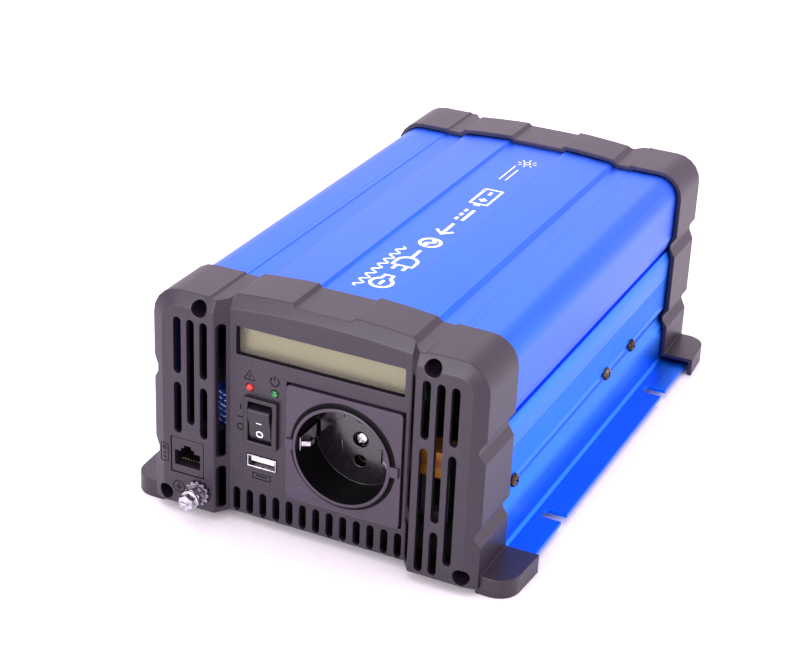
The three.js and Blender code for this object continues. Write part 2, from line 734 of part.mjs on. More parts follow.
function usbShell() {
  const { x, z, width, height } = USB;
  const tube = (inset, y0, y1) => {
    const side = width / 2 - inset;
    const rise = height / 2 - inset;
    return box(x - side, x + side, y0, y1, z - rise, z + rise);
  };
  return tube(0, PANEL - 0.2, PANEL + 13).subtract(tube(0.5, PANEL - 1, PANEL + 12));
}

function usbTongue() {
  const { x, z } = USB;
  const blade = box(x - 5.2, x + 5.2, PANEL + 1, PANEL + 10, z - 0.5, z + 1.4);
  return blade.add(box(x - 5.4, x + 5.4, PANEL + 9.5, PANEL + 11.7, z - 1.9, z + 1.9));
}

function jackOpening() {
  return [
    [-5.85, -3.3], [5.85, -3.3], [5.85, 3.3], [3, 3.3], [3, 4.8], [1.6, 4.8],
    [1.6, 6.2], [-1.6, 6.2], [-1.6, 4.8], [-3, 4.8], [-3, 3.3], [-5.85, 3.3],
  ].map(([x, z]) => [JACK.x + x, JACK.z - 1.2 + z]);
}

function remoteJack() {
  const side = JACK.width / 2 - GAP;
  const rise = JACK.height / 2 - GAP;
  const body = box(JACK.x - side, JACK.x + side, 0.3, JACK.depth, JACK.z - rise, JACK.z + rise);
  return body.subtract(prismY(jackOpening(), -1, JACK.depth - 2.5));
}

function jackContacts() {
  const floor = JACK.z - 1.2 - 3.3;
  const comb = [box(JACK.x - 5, JACK.x + 5, 14, 15.2, floor + 0.3, floor + 2.3)];
  for (let i = 0; i < 8; i++) {
    const x = JACK.x + (i - 3.5) * 1.27;
    comb.push(box(x - 0.25, x + 0.25, 4, 14.5, floor + 0.8, floor + 1.4));
  }
  return union(comb);
}

// A recessed mains outlet with two round pin holes, one above the other, and side earth clips.
function socketBody() {
  const { x, z, plate, recess, collar, depth, proud, pinPitch, pinRadius } = SOCKET;
  const half = plate / 2;
  const rim = PANEL - proud;
  const face = PANEL - 1.2;
  const panel = box(x - half, x + half, face, PANEL_BACK, z - half, z + half);
  const barrel = rodY(x, z, collar, rim, rim + depth + 4, 40);
  const ribs = box(x - half, x + half, face - 1.4, face + 1, z - 2.2, z + 2.2);
  const well = rodY(x, z, recess, rim - 1, rim + depth, 40);
  const floor = rim + depth;
  const through = [floor - 1, floor + 5];
  const pins = [-1, 1].map((side) => rodY(x, z + (side * pinPitch) / 2, pinRadius, ...through, 12));
  const screwHole = rodY(x, z, 3.4, floor - 1, floor + 2, 16).add(rodY(x, z, 1.8, ...through, 12));
  const clipWays = [-1, 1].map((side) => {
    const across = span(x + side * (recess - 1.6), x + side * (recess + 0.6));
    return box(...across, rim + 2.2, floor + 5, z - 3.4, z + 3.4);
  });
  return cut(union([panel, barrel, ribs]), [well, ...pins, screwHole, ...clipWays]);
}

function socketContact(side) {
  const { x, z, depth, proud, pinPitch, pinRadius, ledge } = SOCKET;
  const start = PANEL - proud + depth + ledge;
  const at = z + (side * pinPitch) / 2;
  const sleeve = tubeY(x, at, pinRadius + 0.8, pinRadius, start, start + 13, 14);
  const tab = box(x - 2.4, x + 2.4, start + 12, start + 20, at - 0.5, at + 0.5);
  const root = rodY(x, at, pinRadius + 0.8, start + 12, start + 13, 14);
  return union([sleeve, root, tab]);
}

// One spring strap: two side clips joined by a bridge behind the outlet's floor.
function earthStrap() {
  const { x, z, recess, depth, proud, clip, ledge } = SOCKET;
  const rim = PANEL - proud;
  const back = rim + depth + ledge;
  const thick = 0.8;
  const reach = recess - 1 + thick;
  const arms = [-1, 1].map((side) => {
    const across = span(x + side * (reach - thick), x + side * reach);
    return box(...across, rim + 2.6, back + thick, z - clip, z + clip);
  });
  const bridge = box(x - reach, x + reach, back, back + thick, z - clip, z + clip);
  const tail = box(x + 8, x + 12, back, back + 8, z - 0.4, z + 0.4);
  const hole = rodY(x, z, 1.8, back - 1, back + 2, 12);
  return cut(union([...arms, bridge, tail]), [hole]);
}

const SOCKET_SCREW = screwBody(3, 1.6, 1.5, 9);
const HEX = 6;

function hexPrism(x, z, acrossFlats, y0, y1) {
  const radius = acrossFlats / Math.sqrt(3);
  return rodY(x, z, radius, y0, y1, HEX);
}

function earthScrew() {
  const { x, z, reach } = EARTH;
  const head = hexPrism(x, z, 7, -reach, -reach + 3.2);
  const collar = rodY(x, z, 4.6, -reach + 3, -reach + 3.9, 20);
  const shank = rodY(x, z, 1.9, -reach + 3.5, CAP.frontWall + 6, 16);
  const drive = box(x - 1.9, x + 1.9, -reach - 1, -reach + 1.2, z - 0.45, z + 0.45);
  return cut(union([head, collar, shank]), [drive]);
}

function earthNut() {
  const nut = hexPrism(EARTH.x, EARTH.z, 7, -EARTH.reach + 4.4, -2);
  return nut.subtract(rodY(EARTH.x, EARTH.z, 2.15, -EARTH.reach, 0, 16));
}

function earthLockWasher() {
  const teeth = 12;
  const outline = [];
  for (let i = 0; i < teeth; i++) {
    const angle = (i * 2 * Math.PI) / teeth;
    const step = Math.PI / teeth;
    for (const [turn, radius] of [[-0.45, 5.4], [0.45, 5.4], [0.65, 4.5], [1.35, 4.5]]) {
      const a = angle + turn * step;
      outline.push([EARTH.x + radius * Math.cos(a), EARTH.z + radius * Math.sin(a)]);
    }
  }
  return prismY(outline, -1.6, -0.4).subtract(rodY(EARTH.x, EARTH.z, 2.4, -3, 1, 16));
}

// ---- Rear fittings, in the rear cap's own frame ----

function fanFrame() {
  const half = FAN.size / 2;
  const front = PANEL_BACK + 0.4;
  const frame = box(-half, half, front, front + FAN.depth, FAN.z - half, FAN.z + half);
  const duct = rodY(0, FAN.z, FAN.opening, front - 1, front + FAN.depth - 3, 32);
  const bore = rodY(0, FAN.z, FAN.opening, front, front + FAN.depth + 1, 32);
  const hub = rodY(0, FAN.z, 11, front + FAN.depth - 2.6, front + FAN.depth, 24);
  const spokes = [0, 1, 2].map((i) => {
    const bar = new THREE.BoxGeometry(FAN.opening + 1, 2.4, 3);
    bar.translate(FAN.opening / 2, 0, 0).rotateY((i * 2 * Math.PI) / 3 + 0.4);
    return solid(bar.translate(0, front + FAN.depth - 1.4, FAN.z));
  });
  const pin = rodY(0, FAN.z, 1.5, front + 4, front + FAN.depth - 1, 12);
  return union([cut(frame, [duct, bore]), hub, ...spokes, pin]);
}

// Built about its own axis: the hub's outer face is at y = 0.
function fanRotor() {
  const length = FAN.depth - 4.2;
  const cup = rodY(0, 0, FAN.hub, 0, length, 24).subtract(rodY(0, 0, 1.8, 2, length + 1, 12));
  const blades = [];
  for (let i = 0; i < FAN.blades; i++) {
    const reach = FAN.tip - FAN.hub + 1.5;
    const blade = new THREE.BoxGeometry(reach, 1.5, 15, 3, 1, 1);
    const at = blade.attributes.position;
    for (let k = 0; k < at.count; k++) {
      const share = at.getX(k) / reach + 0.5;
      const pitch = THREE.MathUtils.degToRad(42 - 14 * share);
      const y = at.getY(k) * Math.cos(pitch) - at.getZ(k) * 0.62 * Math.sin(pitch);
      const z = at.getZ(k) * Math.cos(pitch) * (0.75 + 0.25 * share);
      at.setY(k, y);
      at.setZ(k, z);
    }
    blade.translate(FAN.hub - 1.5 + reach / 2, length / 2, 0).rotateY((i * 2 * Math.PI) / FAN.blades);
    blades.push(solid(blade));
  }
  return union([cup, ...blades]);
}

function terminalInsulator() {
  const { radius } = TERMINAL;
  const profile = profileOf([
    [3.4, PANEL - 6], [radius - 1.4, PANEL - 6], [radius, PANEL - 5], [radius, PANEL - 0.3],
    [radius - 1.9, PANEL - 0.3], [radius - 1.9, PANEL_BACK + 4], [3.4, PANEL_BACK + 4],
    [3.4, PANEL - 6],
  ]);
  return solid(new THREE.LatheGeometry(profile, 24));
}

function terminalStud() {
  const stud = rodY(0, 0, 2.9, -TERMINAL.reach, PANEL_BACK + 12, 16);
  const lug = box(-5, 5, PANEL_BACK + 8, PANEL_BACK + 11, -5, 5);
  return stud.add(lug);
}

function terminalNut() {
  const nut = hexPrism(0, 0, 10, PANEL - 12.4, PANEL - 7.9);
  const washer = rodY(0, 0, 6.6, PANEL - 8, PANEL - 6.3, 24);
  return nut.add(washer).subtract(rodY(0, 0, 3.2, -20, PANEL, 16));
}

// ---- Electronics, in the case's frame ----

function mainBoard() {
  const { halfWidth, bottom, thickness, front, rear } = BOARD;
  return box(-halfWidth, halfWidth, front, rear, bottom, bottom + thickness);
}

const BOARD_TOP = BOARD.bottom + BOARD.thickness + GAP;

// A finned bar bolted to the inside of the side wall; it takes the side screws.
function heatsinkBar(side) {
  const outline = [
    [63.4, 17], [63.4, 52], [58.5, 52], [58.5, 50], [61, 50], [61, 44],
    [58.5, 44], [58.5, 42], [61, 42], [61, 36], [59.2, 36], [59.2, 17],
  ].map(([x, z]) => [side * x, z]);
  const bar = prismY(outline, -100, 60);
  const through = span(side * 58, side * 70);
  const holes = SIDE_SCREW.y.map((y) =>
    rodX(y, SIDE_SCREW.z, SIDE_SCREW.shank + 0.2, ...through, 12),
  );
  return cut(bar, holes);
}

// A power transistor standing against the bar: tab, body and three legs in one piece.
function transistor(side) {
  const tab = box(57.6, 58.9, -5, 5, 20, 36);
  const body = box(54.6, 58.9, -5, 5, 20, 29.5);
  const legs = [-2.54, 0, 2.54].map((y) => box(56, 56.7, y - 0.4, y + 0.4, BOARD_TOP, 21));
  const hole = rodX(0, 33, 1.8, 50, 64, 12);
  const made = cut(union([tab, body, ...legs]), [hole]);
  return side > 0 ? made : made.rotate([0, 0, 180]);
}

const TRANSFORMER = { x: -8, y: 48, width: 52, length: 46, height: 44 };

function transformerCore() {
  const { x, y, width, height } = TRANSFORMER;
  const base = BOARD_TOP;
  const block = box(x - width / 2, x + width / 2, y - 9, y + 9, base, base + height);
  const windows = [-1, 1].map((side) => {
    const across = span(x + side * 9, x + side * 19);
    return box(...across, y - 12, y + 12, base + 8, base + height - 8);
  });
  return cut(block, windows);
}

function transformerWinding() {
  const { x, y, length, height } = TRANSFORMER;
  const low = BOARD_TOP + 8.4;
  const high = BOARD_TOP + height - 8.4;
  const coil = box(x - 18.6, x + 18.6, y - length / 2, y + length / 2, low, high);
  const core = box(x - 9.4, x + 9.4, y - 9.4, y + 9.4, low - 1, high + 1);
  return coil.subtract(core);
}

function capacitor(radius, height) {
  const profile = profileOf([
    [0, 0], [radius, 0], [radius, 2], [radius - 0.7, 2.7], [radius, 3.4],
    [radius, height - 0.8], [radius - 0.8, height], [0, height],
  ]);
  return solid(new THREE.LatheGeometry(profile, 16).rotateX(Math.PI / 2));
}

const TOROID = { inner: 8, outer: 14, half: 5.5, wire: 2.2, gap: 0.4, sweep: 300 };
const TOROID_Z = BOARD_TOP + 17;

// A ring of square section about the Y axis; `grow` widens it on every side.
function squareRing(grow) {
  const inner = TOROID.inner - grow;
  const outer = TOROID.outer + grow;
  const half = TOROID.half + grow;
  const section = [[inner, -half], [outer, -half], [outer, half], [inner, half], [inner, -half]];
  return solid(new THREE.LatheGeometry(profileOf(section), 20));
}

// A ring core wound with thick wire, standing on the board.
function toroidCore() {
  return squareRing(0);
}

// The winding leaves part of the ring bare.
function toroidWinding() {
  const { wire, gap, sweep } = TOROID;
  const turns = squareRing(gap + wire).subtract(squareRing(gap));
  const bare = THREE.MathUtils.degToRad((360 - sweep) / 2);
  const reach = 30;
  const wedge = prismY([[0, 0], ...arc(0, 0, reach, -bare, bare, 4)], -reach / 2, reach / 2);
  return turns.subtract(wedge);
}

// The small board that drives the display and the lamps stands across the main one.
function controlBoard() {
  return box(-42, 20, -22, -22 + BOARD.thickness, BOARD_TOP, BOARD_TOP + 34);
}

// A small choke just behind the front vents: two upright core legs with a taped coil.
const CHOKE = { x: 43.2, y: -103.5, width: 12, length: 12, top: 46.5 };

function chokeCore() {
  const { x, y, width, length, top } = CHOKE;
  const block = box(x - width / 2, x + width / 2, y - 3, y + 3, BOARD_TOP, top);
  const window = box(x - 2.5, x + 2.5, y - length, y + length, BOARD_TOP + 5, top - 12);
  return block.subtract(window);
}

function chokeCoil() {
  const { x, y, width, length, top } = CHOKE;
  const low = top - 11;
  const coil = box(x - width / 2, x + width / 2, y - length / 2, y + length / 2, low, top + 0.8);
  const core = box(x - width / 2 - 1, x + width / 2 + 1, y - 3.3, y + 3.3, low - 1, top + GAP);
  return coil.subtract(core);
}

// ---- Assembly ----

function placed(item, x, y, z) {
  item.position.set(x, y, z);
  return item;
}

function frontAssembly() {
  const group = new THREE.Group();
  group.position.y = FRONT_Y;
  const rocker = mesh("rocker", rockerBody(), MATERIALS.blackPlastic);
  rocker.rotation.x = ROCKER_TILT;
  group.add(
    mesh("front_cap", frontCap(), MATERIALS.capPlastic),
    ...capScrews("front", 1),
    mesh("display_window", displayWindow(), MATERIALS.glass),
    mesh("display_module", displayModule(), MATERIALS.liquidCrystal),
    mesh("display_board", displayBoard(), MATERIALS.laminate),
    placed(mesh("fault_lamp", lamp(), MATERIALS.redLens), LAMPS.faultX, PANEL, LAMPS.z),
    placed(mesh("power_lamp", lamp(), MATERIALS.greenLens), LAMPS.powerX, PANEL, LAMPS.z),
    mesh("switch_frame", switchFrame(), MATERIALS.blackPlastic),
    placed(rocker, ROCKER.x, ROCKER_PIVOT_Y, ROCKER.z),
    mesh("usb_shell", usbShell(), MATERIALS.nickel),
    mesh("usb_tongue", usbTongue(), MATERIALS.whitePlastic),
    mesh("remote_jack", remoteJack(), MATERIALS.blackPlastic),
    mesh("remote_jack_contacts", jackContacts(), MATERIALS.brass),
    mesh("socket_body", socketBody(), MATERIALS.blackPlastic),
    mesh("socket_contact_upper", socketContact(1), MATERIALS.brass),
    mesh("socket_contact_lower", socketContact(-1), MATERIALS.brass),
    mesh("socket_earth_strap", earthStrap(), MATERIALS.nickel),
    placed(
      mesh("socket_screw", SOCKET_SCREW, MATERIALS.nickel),
      SOCKET.x, PANEL - SOCKET.proud + SOCKET.depth + 0.3, SOCKET.z,
    ),
    mesh("earth_screw", earthScrew(), MATERIALS.nickel),
    mesh("earth_nut", earthNut(), MATERIALS.nickel),
    mesh("earth_lock_washer", earthLockWasher(), MATERIALS.nickel),
  );
  return group;
}

function rearAssembly() {
  const group = new THREE.Group();
  group.position.y = REAR_Y;
  group.rotation.z = Math.PI;
  const poles = [
    ["positive", TERMINAL.x, MATERIALS.redPlastic],
    ["negative", -TERMINAL.x, MATERIALS.blackPlastic],
  ];
  group.add(
    mesh("rear_cap", rearCap(), MATERIALS.capPlastic),
    ...capScrews("rear", -1),
    mesh("fan_frame", fanFrame(), MATERIALS.blackPlastic),
    placed(mesh("fan_rotor", fanRotor(), MATERIALS.blackPlastic), 0, PANEL_BACK + 1, FAN.z),
    ...poles.flatMap(([pole, x, plastic]) => [
      placed(mesh("terminal_insulator_" + pole, terminalInsulator(), plastic), x, 0, TERMINAL.z),
      placed(mesh("terminal_stud_" + pole, terminalStud(), MATERIALS.brass), x, 0, TERMINAL.z),
      placed(mesh("terminal_nut_" + pole, terminalNut(), MATERIALS.nickel), x, 0, TERMINAL.z),
    ]),
  );
  return group;
}

function electronics() {
  const group = new THREE.Group();
  group.add(mesh("main_board", mainBoard(), MATERIALS.laminate));
  for (const [name, side] of [["left", -1], ["right", 1]]) {
    group.add(mesh("heatsink_" + name, heatsinkBar(side), MATERIALS.heatsink));
    group.add(placed(mesh("transistor_" + name, transistor(side), MATERIALS.blackPlastic), 0, -30, 0));
  }
  group.add(
    mesh("transformer_core", transformerCore(), MATERIALS.ferrite),
    mesh("transformer_winding", transformerWinding(), MATERIALS.tape),
    placed(mesh("input_capacitor_1", capacitor(9, 36), MATERIALS.sleeve), 38, 78, BOARD_TOP),
    placed(mesh("input_capacitor_2", capacitor(9, 36), MATERIALS.sleeve), 38, 57, BOARD_TOP),
    placed(mesh("output_capacitor", capacitor(8, 33), MATERIALS.sleeve), -50, -99, BOARD_TOP),
    placed(mesh("toroid_core", toroidCore(), MATERIALS.ferrite), -36, 8, TOROID_Z),
    placed(mesh("toroid_winding", toroidWinding(), MATERIALS.copper), -36, 8, TOROID_Z),
    mesh("choke_core", chokeCore(), MATERIALS.ferrite),
    mesh("choke_coil", chokeCoil(), MATERIALS.tape),
    mesh("control_board", controlBoard(), MATERIALS.laminate),
  );
  return group;
}

const inverter = new THREE.Group();
inverter.name = "power_inverter";
inverter.add(
  mesh("top_cover", topCover(), MATERIALS.anodised),
  mesh("base_extrusion", baseExtrusion(), MATERIALS.anodised),
  ...wallScrews(),
  frontAssembly(),
  rearAssembly(),
  electronics(),
);

export default inverter;
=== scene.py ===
import math

import bmesh
import bpy
from mathutils import Matrix, Vector


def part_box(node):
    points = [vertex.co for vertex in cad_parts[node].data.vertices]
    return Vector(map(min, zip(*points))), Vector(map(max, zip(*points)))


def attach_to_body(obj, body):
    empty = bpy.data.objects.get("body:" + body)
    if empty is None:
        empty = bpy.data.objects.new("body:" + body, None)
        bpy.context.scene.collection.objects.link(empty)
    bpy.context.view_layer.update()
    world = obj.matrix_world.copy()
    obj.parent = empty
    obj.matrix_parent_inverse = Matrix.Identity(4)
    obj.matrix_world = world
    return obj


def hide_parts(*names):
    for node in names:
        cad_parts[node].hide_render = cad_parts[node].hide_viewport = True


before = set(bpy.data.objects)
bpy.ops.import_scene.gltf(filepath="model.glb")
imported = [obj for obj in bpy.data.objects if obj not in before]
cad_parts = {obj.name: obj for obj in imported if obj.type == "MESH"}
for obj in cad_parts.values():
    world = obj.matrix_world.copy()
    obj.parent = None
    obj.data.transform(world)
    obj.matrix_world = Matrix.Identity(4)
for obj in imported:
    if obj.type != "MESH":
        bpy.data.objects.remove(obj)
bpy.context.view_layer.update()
MM = 0.001

# ---- Where things are, taken from the frame ----


def middle(node):
    low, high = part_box(node)
    return (low + high) / 2


OUTLET = middle("socket_body")
OUTLET_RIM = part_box("socket_body")[0].y
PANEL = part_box("switch_frame")[0].y + 2 * MM  # outer face of the middle panel
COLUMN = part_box("front_cap")[0].y  # outer face of the two columns
ROCKER = middle("switch_frame")
WELL_FLOOR = OUTLET_RIM + 17.5 * MM  # floor of the outlet's well
EARTH = middle("earth_screw")
FAN = middle("fan_rotor")
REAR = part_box("rear_cap")[1].y

# ---- Materials ----


def linear(code):
    """An sRGB hex colour as linear RGBA."""
    parts = [int(code[i : i + 2], 16) / 255 for i in (1, 3, 5)]
    return [p / 12.92 if p <= 0.04045 else ((p + 0.055) / 1.055) ** 2.4 for p in parts] + [1.0]


def add(tree, kind, settings=None, links=None):
    """Adds a node. A link's value is a number, a colour, or another node's output.

    The setting "stops" holds the places and colours of a colour ramp's two stops.
    """
    made = tree.nodes.new("ShaderNode" + kind)
    for key, value in (settings or {}).items():
        if key == "stops":
            for stop, (at, colour) in zip(made.color_ramp.elements, value):
                stop.position, stop.color = at, colour
        else:
            setattr(made, key, value)
    for key, value in (links or {}).items():
        if isinstance(value, bpy.types.NodeSocket):
            tree.links.new(value, made.inputs[key])
        else:
            made.inputs[key].default_value = value
    return made


def surface(name, shader):
    """A material with one principled shader; returns it with its tree, shader and coordinates."""
    made = bpy.data.materials.new(name)
    made.use_nodes = True
    tree = made.node_tree
    tree.nodes.clear()
    principled = add(tree, "BsdfPrincipled", links=shader)
    output = add(tree, "OutputMaterial", links={"Surface": principled.outputs[0]})
    output.location = (300, 0)
    place = add(tree, "TexCoord").outputs["Object"]
    return made, tree, principled, place


def moulded(name, dark, light, rough, grain, depth, gloss=0.5):
    """Moulded plastic. grain is the texture's size in mm, depth its height in mm."""
    made, tree, shader, place = surface(name, {"IOR": 1.5, "Specular IOR Level": gloss})
    spark = add(tree, "TexNoise", links={"Vector": place, "Scale": 1 / (grain * MM), "Detail": 3.0})
    cloud = add(tree, "TexNoise", links={"Vector": place, "Scale": 1 / (18 * MM), "Detail": 2.0})
    both = add(
        tree,
        "Math",
        {"operation": "MULTIPLY_ADD"},
        {0: cloud.outputs[0], 1: 0.35, 2: spark.outputs[0]},
    )
    colour = add(
        tree,
        "ValToRGB",
        {"stops": ((0.42, linear(dark)), (0.95, linear(light)))},
        {"Fac": both.outputs[0]},
    )
    bump = add(
        tree, "Bump", links={"Height": spark.outputs[0], "Distance": depth * MM, "Strength": 0.7}
    )
    tree.links.new(colour.outputs[0], shader.inputs["Base Color"])
    sheen = add(
        tree,
        "MapRange",
        links={"Value": spark.outputs[0], "To Min": rough - 0.08, "To Max": rough + 0.12},
    )
    tree.links.new(sheen.outputs[0], shader.inputs["Roughness"])
    tree.links.new(bump.outputs[0], shader.inputs["Normal"])
    return made


def extruded(name, deep, pale, coat):
    """Dyed anodised aluminium: fine lines along the extrusion under a clear hard skin."""
    made, tree, shader, place = surface(
        name, {"Metallic": 1.0, "Coat Weight": coat, "Coat Roughness": 0.32, "Coat IOR": 1.6}
    )
    # Die lines are about 0.1 mm wide; they are drawn 0.7 mm wide so that they show.
    along = add(tree, "Mapping", links={"Vector": place, "Scale": (1.0, 0.004, 1.0)})
    lines = add(
        tree, "TexNoise", links={"Vector": along.outputs[0], "Scale": 1 / (0.7 * MM), "Detail": 3.0}
    )
    bloom = add(tree, "TexNoise", links={"Vector": place, "Scale": 1 / (45 * MM), "Detail": 2.0})
    mixed = add(
        tree,
        "Math",
        {"operation": "MULTIPLY_ADD"},
        {0: bloom.outputs[0], 1: 0.3, 2: lines.outputs[0]},
    )
    colour = add(
        tree,
        "ValToRGB",
        {"stops": ((0.35, linear(deep)), (0.95, linear(pale)))},
        {"Fac": mixed.outputs[0]},
    )
    tree.links.new(colour.outputs[0], shader.inputs["Base Color"])
    sheen = add(tree, "MapRange", links={"Value": lines.outputs[0], "To Min": 0.34, "To Max": 0.5})
    tree.links.new(sheen.outputs[0], shader.inputs["Roughness"])
    # The etched skin under the dye has a fine tooth of about 0.25 mm.
    tooth = add(tree, "TexNoise", links={"Vector": place, "Scale": 1 / (0.25 * MM), "Detail": 2.0})
    height = add(
        tree,
        "Math",
        {"operation": "MULTIPLY_ADD"},
        {0: lines.outputs[0], 1: 1.5, 2: tooth.outputs[0]},
    )
    bump = add(
        tree, "Bump", links={"Height": height.outputs[0], "Distance": 0.012 * MM, "Strength": 0.6}
    )
    tree.links.new(bump.outputs[0], shader.inputs["Normal"])
    return made


def plated(name, dark, light, rough):
    """Plated or bare metal with fine random scratches and slight tarnish."""
    made, tree, shader, place = surface(name, {"Metallic": 1.0})
    stretch = add(tree, "Mapping", links={"Vector": place, "Scale": (1.0, 0.2, 1.0)})
    scratch = add(
        tree,
        "TexNoise",
        links={"Vector": stretch.outputs[0], "Scale": 1 / (0.3 * MM), "Detail": 4.0},
    )
    tarnish = add(tree, "TexNoise", links={"Vector": place, "Scale": 1 / (2.5 * MM), "Detail": 3.0})
    colour = add(
        tree,
        "ValToRGB",
        {"stops": ((0.35, linear(dark)), (0.65, linear(light)))},
        {"Fac": tarnish.outputs[0]},
    )
    tree.links.new(colour.outputs[0], shader.inputs["Base Color"])
    sheen = add(
        tree,
        "MapRange",
        links={"Value": scratch.outputs[0], "To Min": rough - 0.08, "To Max": rough + 0.14},
    )
    tree.links.new(sheen.outputs[0], shader.inputs["Roughness"])
    bump = add(tree, "Bump", links={"Height": scratch.outputs[0], "Distance": 0.01 * MM})
    tree.links.new(bump.outputs[0], shader.inputs["Normal"])
    return made


def striped(name, dark, light, across, width, rough, metallic=0.0):
    """Bands of two tones, such as wire turns or lapped tape. across is the axis they follow."""
    made, tree, shader, place = surface(name, {"Metallic": metallic})
    bands = add(
        tree,
        "TexWave",
        {"bands_direction": across},
        {"Vector": place, "Scale": math.tau / 20 / (width * MM), "Distortion": 0.6, "Detail": 2.0},
    )
    colour = add(
        tree,
        "ValToRGB",
        {"stops": ((0.15, linear(dark)), (0.75, linear(light)))},
        {"Fac": bands.outputs["Fac"]},
    )
    tree.links.new(colour.outputs[0], shader.inputs["Base Color"])
    sheen = add(
        tree,
        "MapRange",
        links={"Value": bands.outputs["Fac"], "To Min": rough + 0.1, "To Max": rough},
    )
    tree.links.new(sheen.outputs[0], shader.inputs["Roughness"])
    bump = add(tree, "Bump", links={"Height": bands.outputs["Fac"], "Distance": 0.15 * MM})
    tree.links.new(bump.outputs[0], shader.inputs["Normal"])
    return made


# Spark-textured ABS: a plum cast over dark grey, dull in the face and paler where light grazes.
CAP_ABS = moulded("plum_grey_abs", "#130d16", "#281d2f", 0.4, 0.6, 0.05)
# Polished polycarbonate: near black, with clear reflections.
BLACK_GLOSS = moulded("black_polycarbonate", "#0b070d", "#140e18", 0.16, 2.0, 0.001, 1.0)
# Painted shade: near-black, dull plastic on the well's wall and on the flare outside the rim, for
# the shade in the deep well and the rim's shadow on the plate.
PAINTED_SHADE_BLACK = moulded("painted_shade_black", "#020202", "#050406", 0.5, 1.0, 0.01, 0.1)
# Nylon of switches and fan parts: black, half gloss.
BLACK_NYLON = moulded("black_nylon", "#1b181d", "#2a252d", 0.38, 0.6, 0.02)
SWITCH_NYLON = moulded("grey_black_nylon", "#120e14", "#1f1823", 0.3, 0.5, 0.01)
JACK_NYLON = moulded("jack_nylon", "#151017", "#241c29", 0.36, 0.5, 0.015)
# Etched polycarbonate: the outlet's face is paler and smoother than the caps.
OUTLET_FACE = moulded("outlet_face_polycarbonate", "#241b29", "#3b2f42", 0.34, 0.5, 0.02)
# Painted shade: dull near-black film put on the case's inner faces, behind the lower slots and
# round the display pane, so these openings look into darkness.
PAINTED_SHADE_FILM = moulded("painted_shade_film", "#020202", "#050405", 0.7, 3.0, 0.01, 0.1)
# Natural nylon: warm white, half gloss.
WHITE_NYLON = moulded("white_nylon", "#dcd8d6", "#f6f4f1", 0.35, 0.5, 0.01)
# Nylon dyed through: an even, slightly dull red.
RED_NYLON = moulded("red_nylon", "#8f1013", "#b81a1c", 0.35, 0.6, 0.02)
# Blue dye in sealed anodising: the cover leans to violet, the base to sky blue.
BLUE_COVER = extruded("violet_blue_anodising", "#0f5cf2", "#1a70ff", 0.2)
BLUE_BASE = extruded("blue_anodising", "#006cf2", "#0a82ff", 0.14)
# Bare extrusion: pale grey metal with a soft sheen.
MILL_ALUMINIUM = plated("mill_aluminium", "#a9abb0", "#c9cbd0", 0.35)
# Plating over a polished base is bright, and over a stamped one it is greyer.
NICKEL = plated("bright_nickel", "#a8a4ae", "#d9d7dc", 0.16)
DULL_NICKEL = plated("dull_nickel", "#6f6a73", "#9a969e", 0.3)
# Passivated zinc on screws: dark, with a bronze glint.
BLACK_ZINC = plated("black_zinc", "#2a2422", "#6d5e50", 0.24)
# Turned brass: warm yellow with fine tool marks.
BRASS = plated("contact_brass", "#b08a3e", "#e0bd6c", 0.25)
# Thin gilt over nickel: paler than brass.
GILT = plated("pale_gilt", "#6f6244", "#a8976c", 0.3)
# Pressed and fired powder: dull dark grey.
FERRITE = moulded("sintered_ferrite", "#232225", "#37353a", 0.7, 0.4, 0.03)
# Lapped film over the turns: amber bands with a gloss.
AMBER_TAPE = striped("amber_polyester_tape", "#7d4a12", "#a3691d", "Z", 7.0, 0.25)
# Enamel over drawn wire: dark orange metal with a line between turns.
COPPER_WIRE = striped("enamelled_copper_wire", "#6e2d12", "#c8743a", "X", 1.3, 0.3, 0.9)


def sleeve_material():
    """Blue PVC shrink sleeve with a pale stripe and rows of pale dashes printed round it."""
    made, tree, shader, place = surface("printed_pvc_sleeve", {"Roughness": 0.3})
    at = add(tree, "SeparateXYZ", links={"Vector": place})
    rows = add(
        tree,
        "TexWave",
        {"bands_direction": "Z"},
        {"Vector": place, "Scale": math.tau / 20 / (2.6 * MM), "Distortion": 1.2, "Detail": 3.0},
    )
    marks = add(tree, "TexNoise", links={"Vector": place, "Scale": 1 / (1.1 * MM), "Detail": 1.0})
    ink = add(
        tree, "Math", {"operation": "MULTIPLY"}, {0: rows.outputs["Fac"], 1: marks.outputs[0]}
    )
    lit = add(
        tree,
        "ValToRGB",
        {"stops": ((0.42, linear("#16277e")), (0.48, linear("#c9cfe6")))},
        {"Fac": ink.outputs[0]},
    )
    tree.links.new(lit.outputs[0], shader.inputs["Base Color"])
    bump = add(tree, "Bump", links={"Height": at.outputs["Z"], "Distance": 0.01 * MM})
    tree.links.new(bump.outputs[0], shader.inputs["Normal"])
    return made


def board_material():
    """Green solder mask over glass laminate, with paler tracks showing through."""
    made, tree, shader, place = surface("solder_mask", {"IOR": 1.5})
    tracks = add(
        tree, "TexVoronoi", {"distance": "MANHATTAN"}, {"Vector": place, "Scale": 1 / (4 * MM)}
    )
    colour = add(
        tree,
        "ValToRGB",
        {"stops": ((0.25, linear("#2e6b3c")), (0.3, linear("#174527")))},
        {"Fac": tracks.outputs["Distance"]},
    )
    tree.links.new(colour.outputs[0], shader.inputs["Base Color"])
    sheen = add(
        tree,
        "MapRange",
        links={"Value": tracks.outputs["Distance"], "To Min": 0.25, "To Max": 0.45},
    )
    tree.links.new(sheen.outputs[0], shader.inputs["Roughness"])
    bump = add(tree, "Bump", links={"Height": tracks.outputs["Distance"], "Distance": 0.03 * MM})
    tree.links.new(bump.outputs[0], shader.inputs["Normal"])
    return made


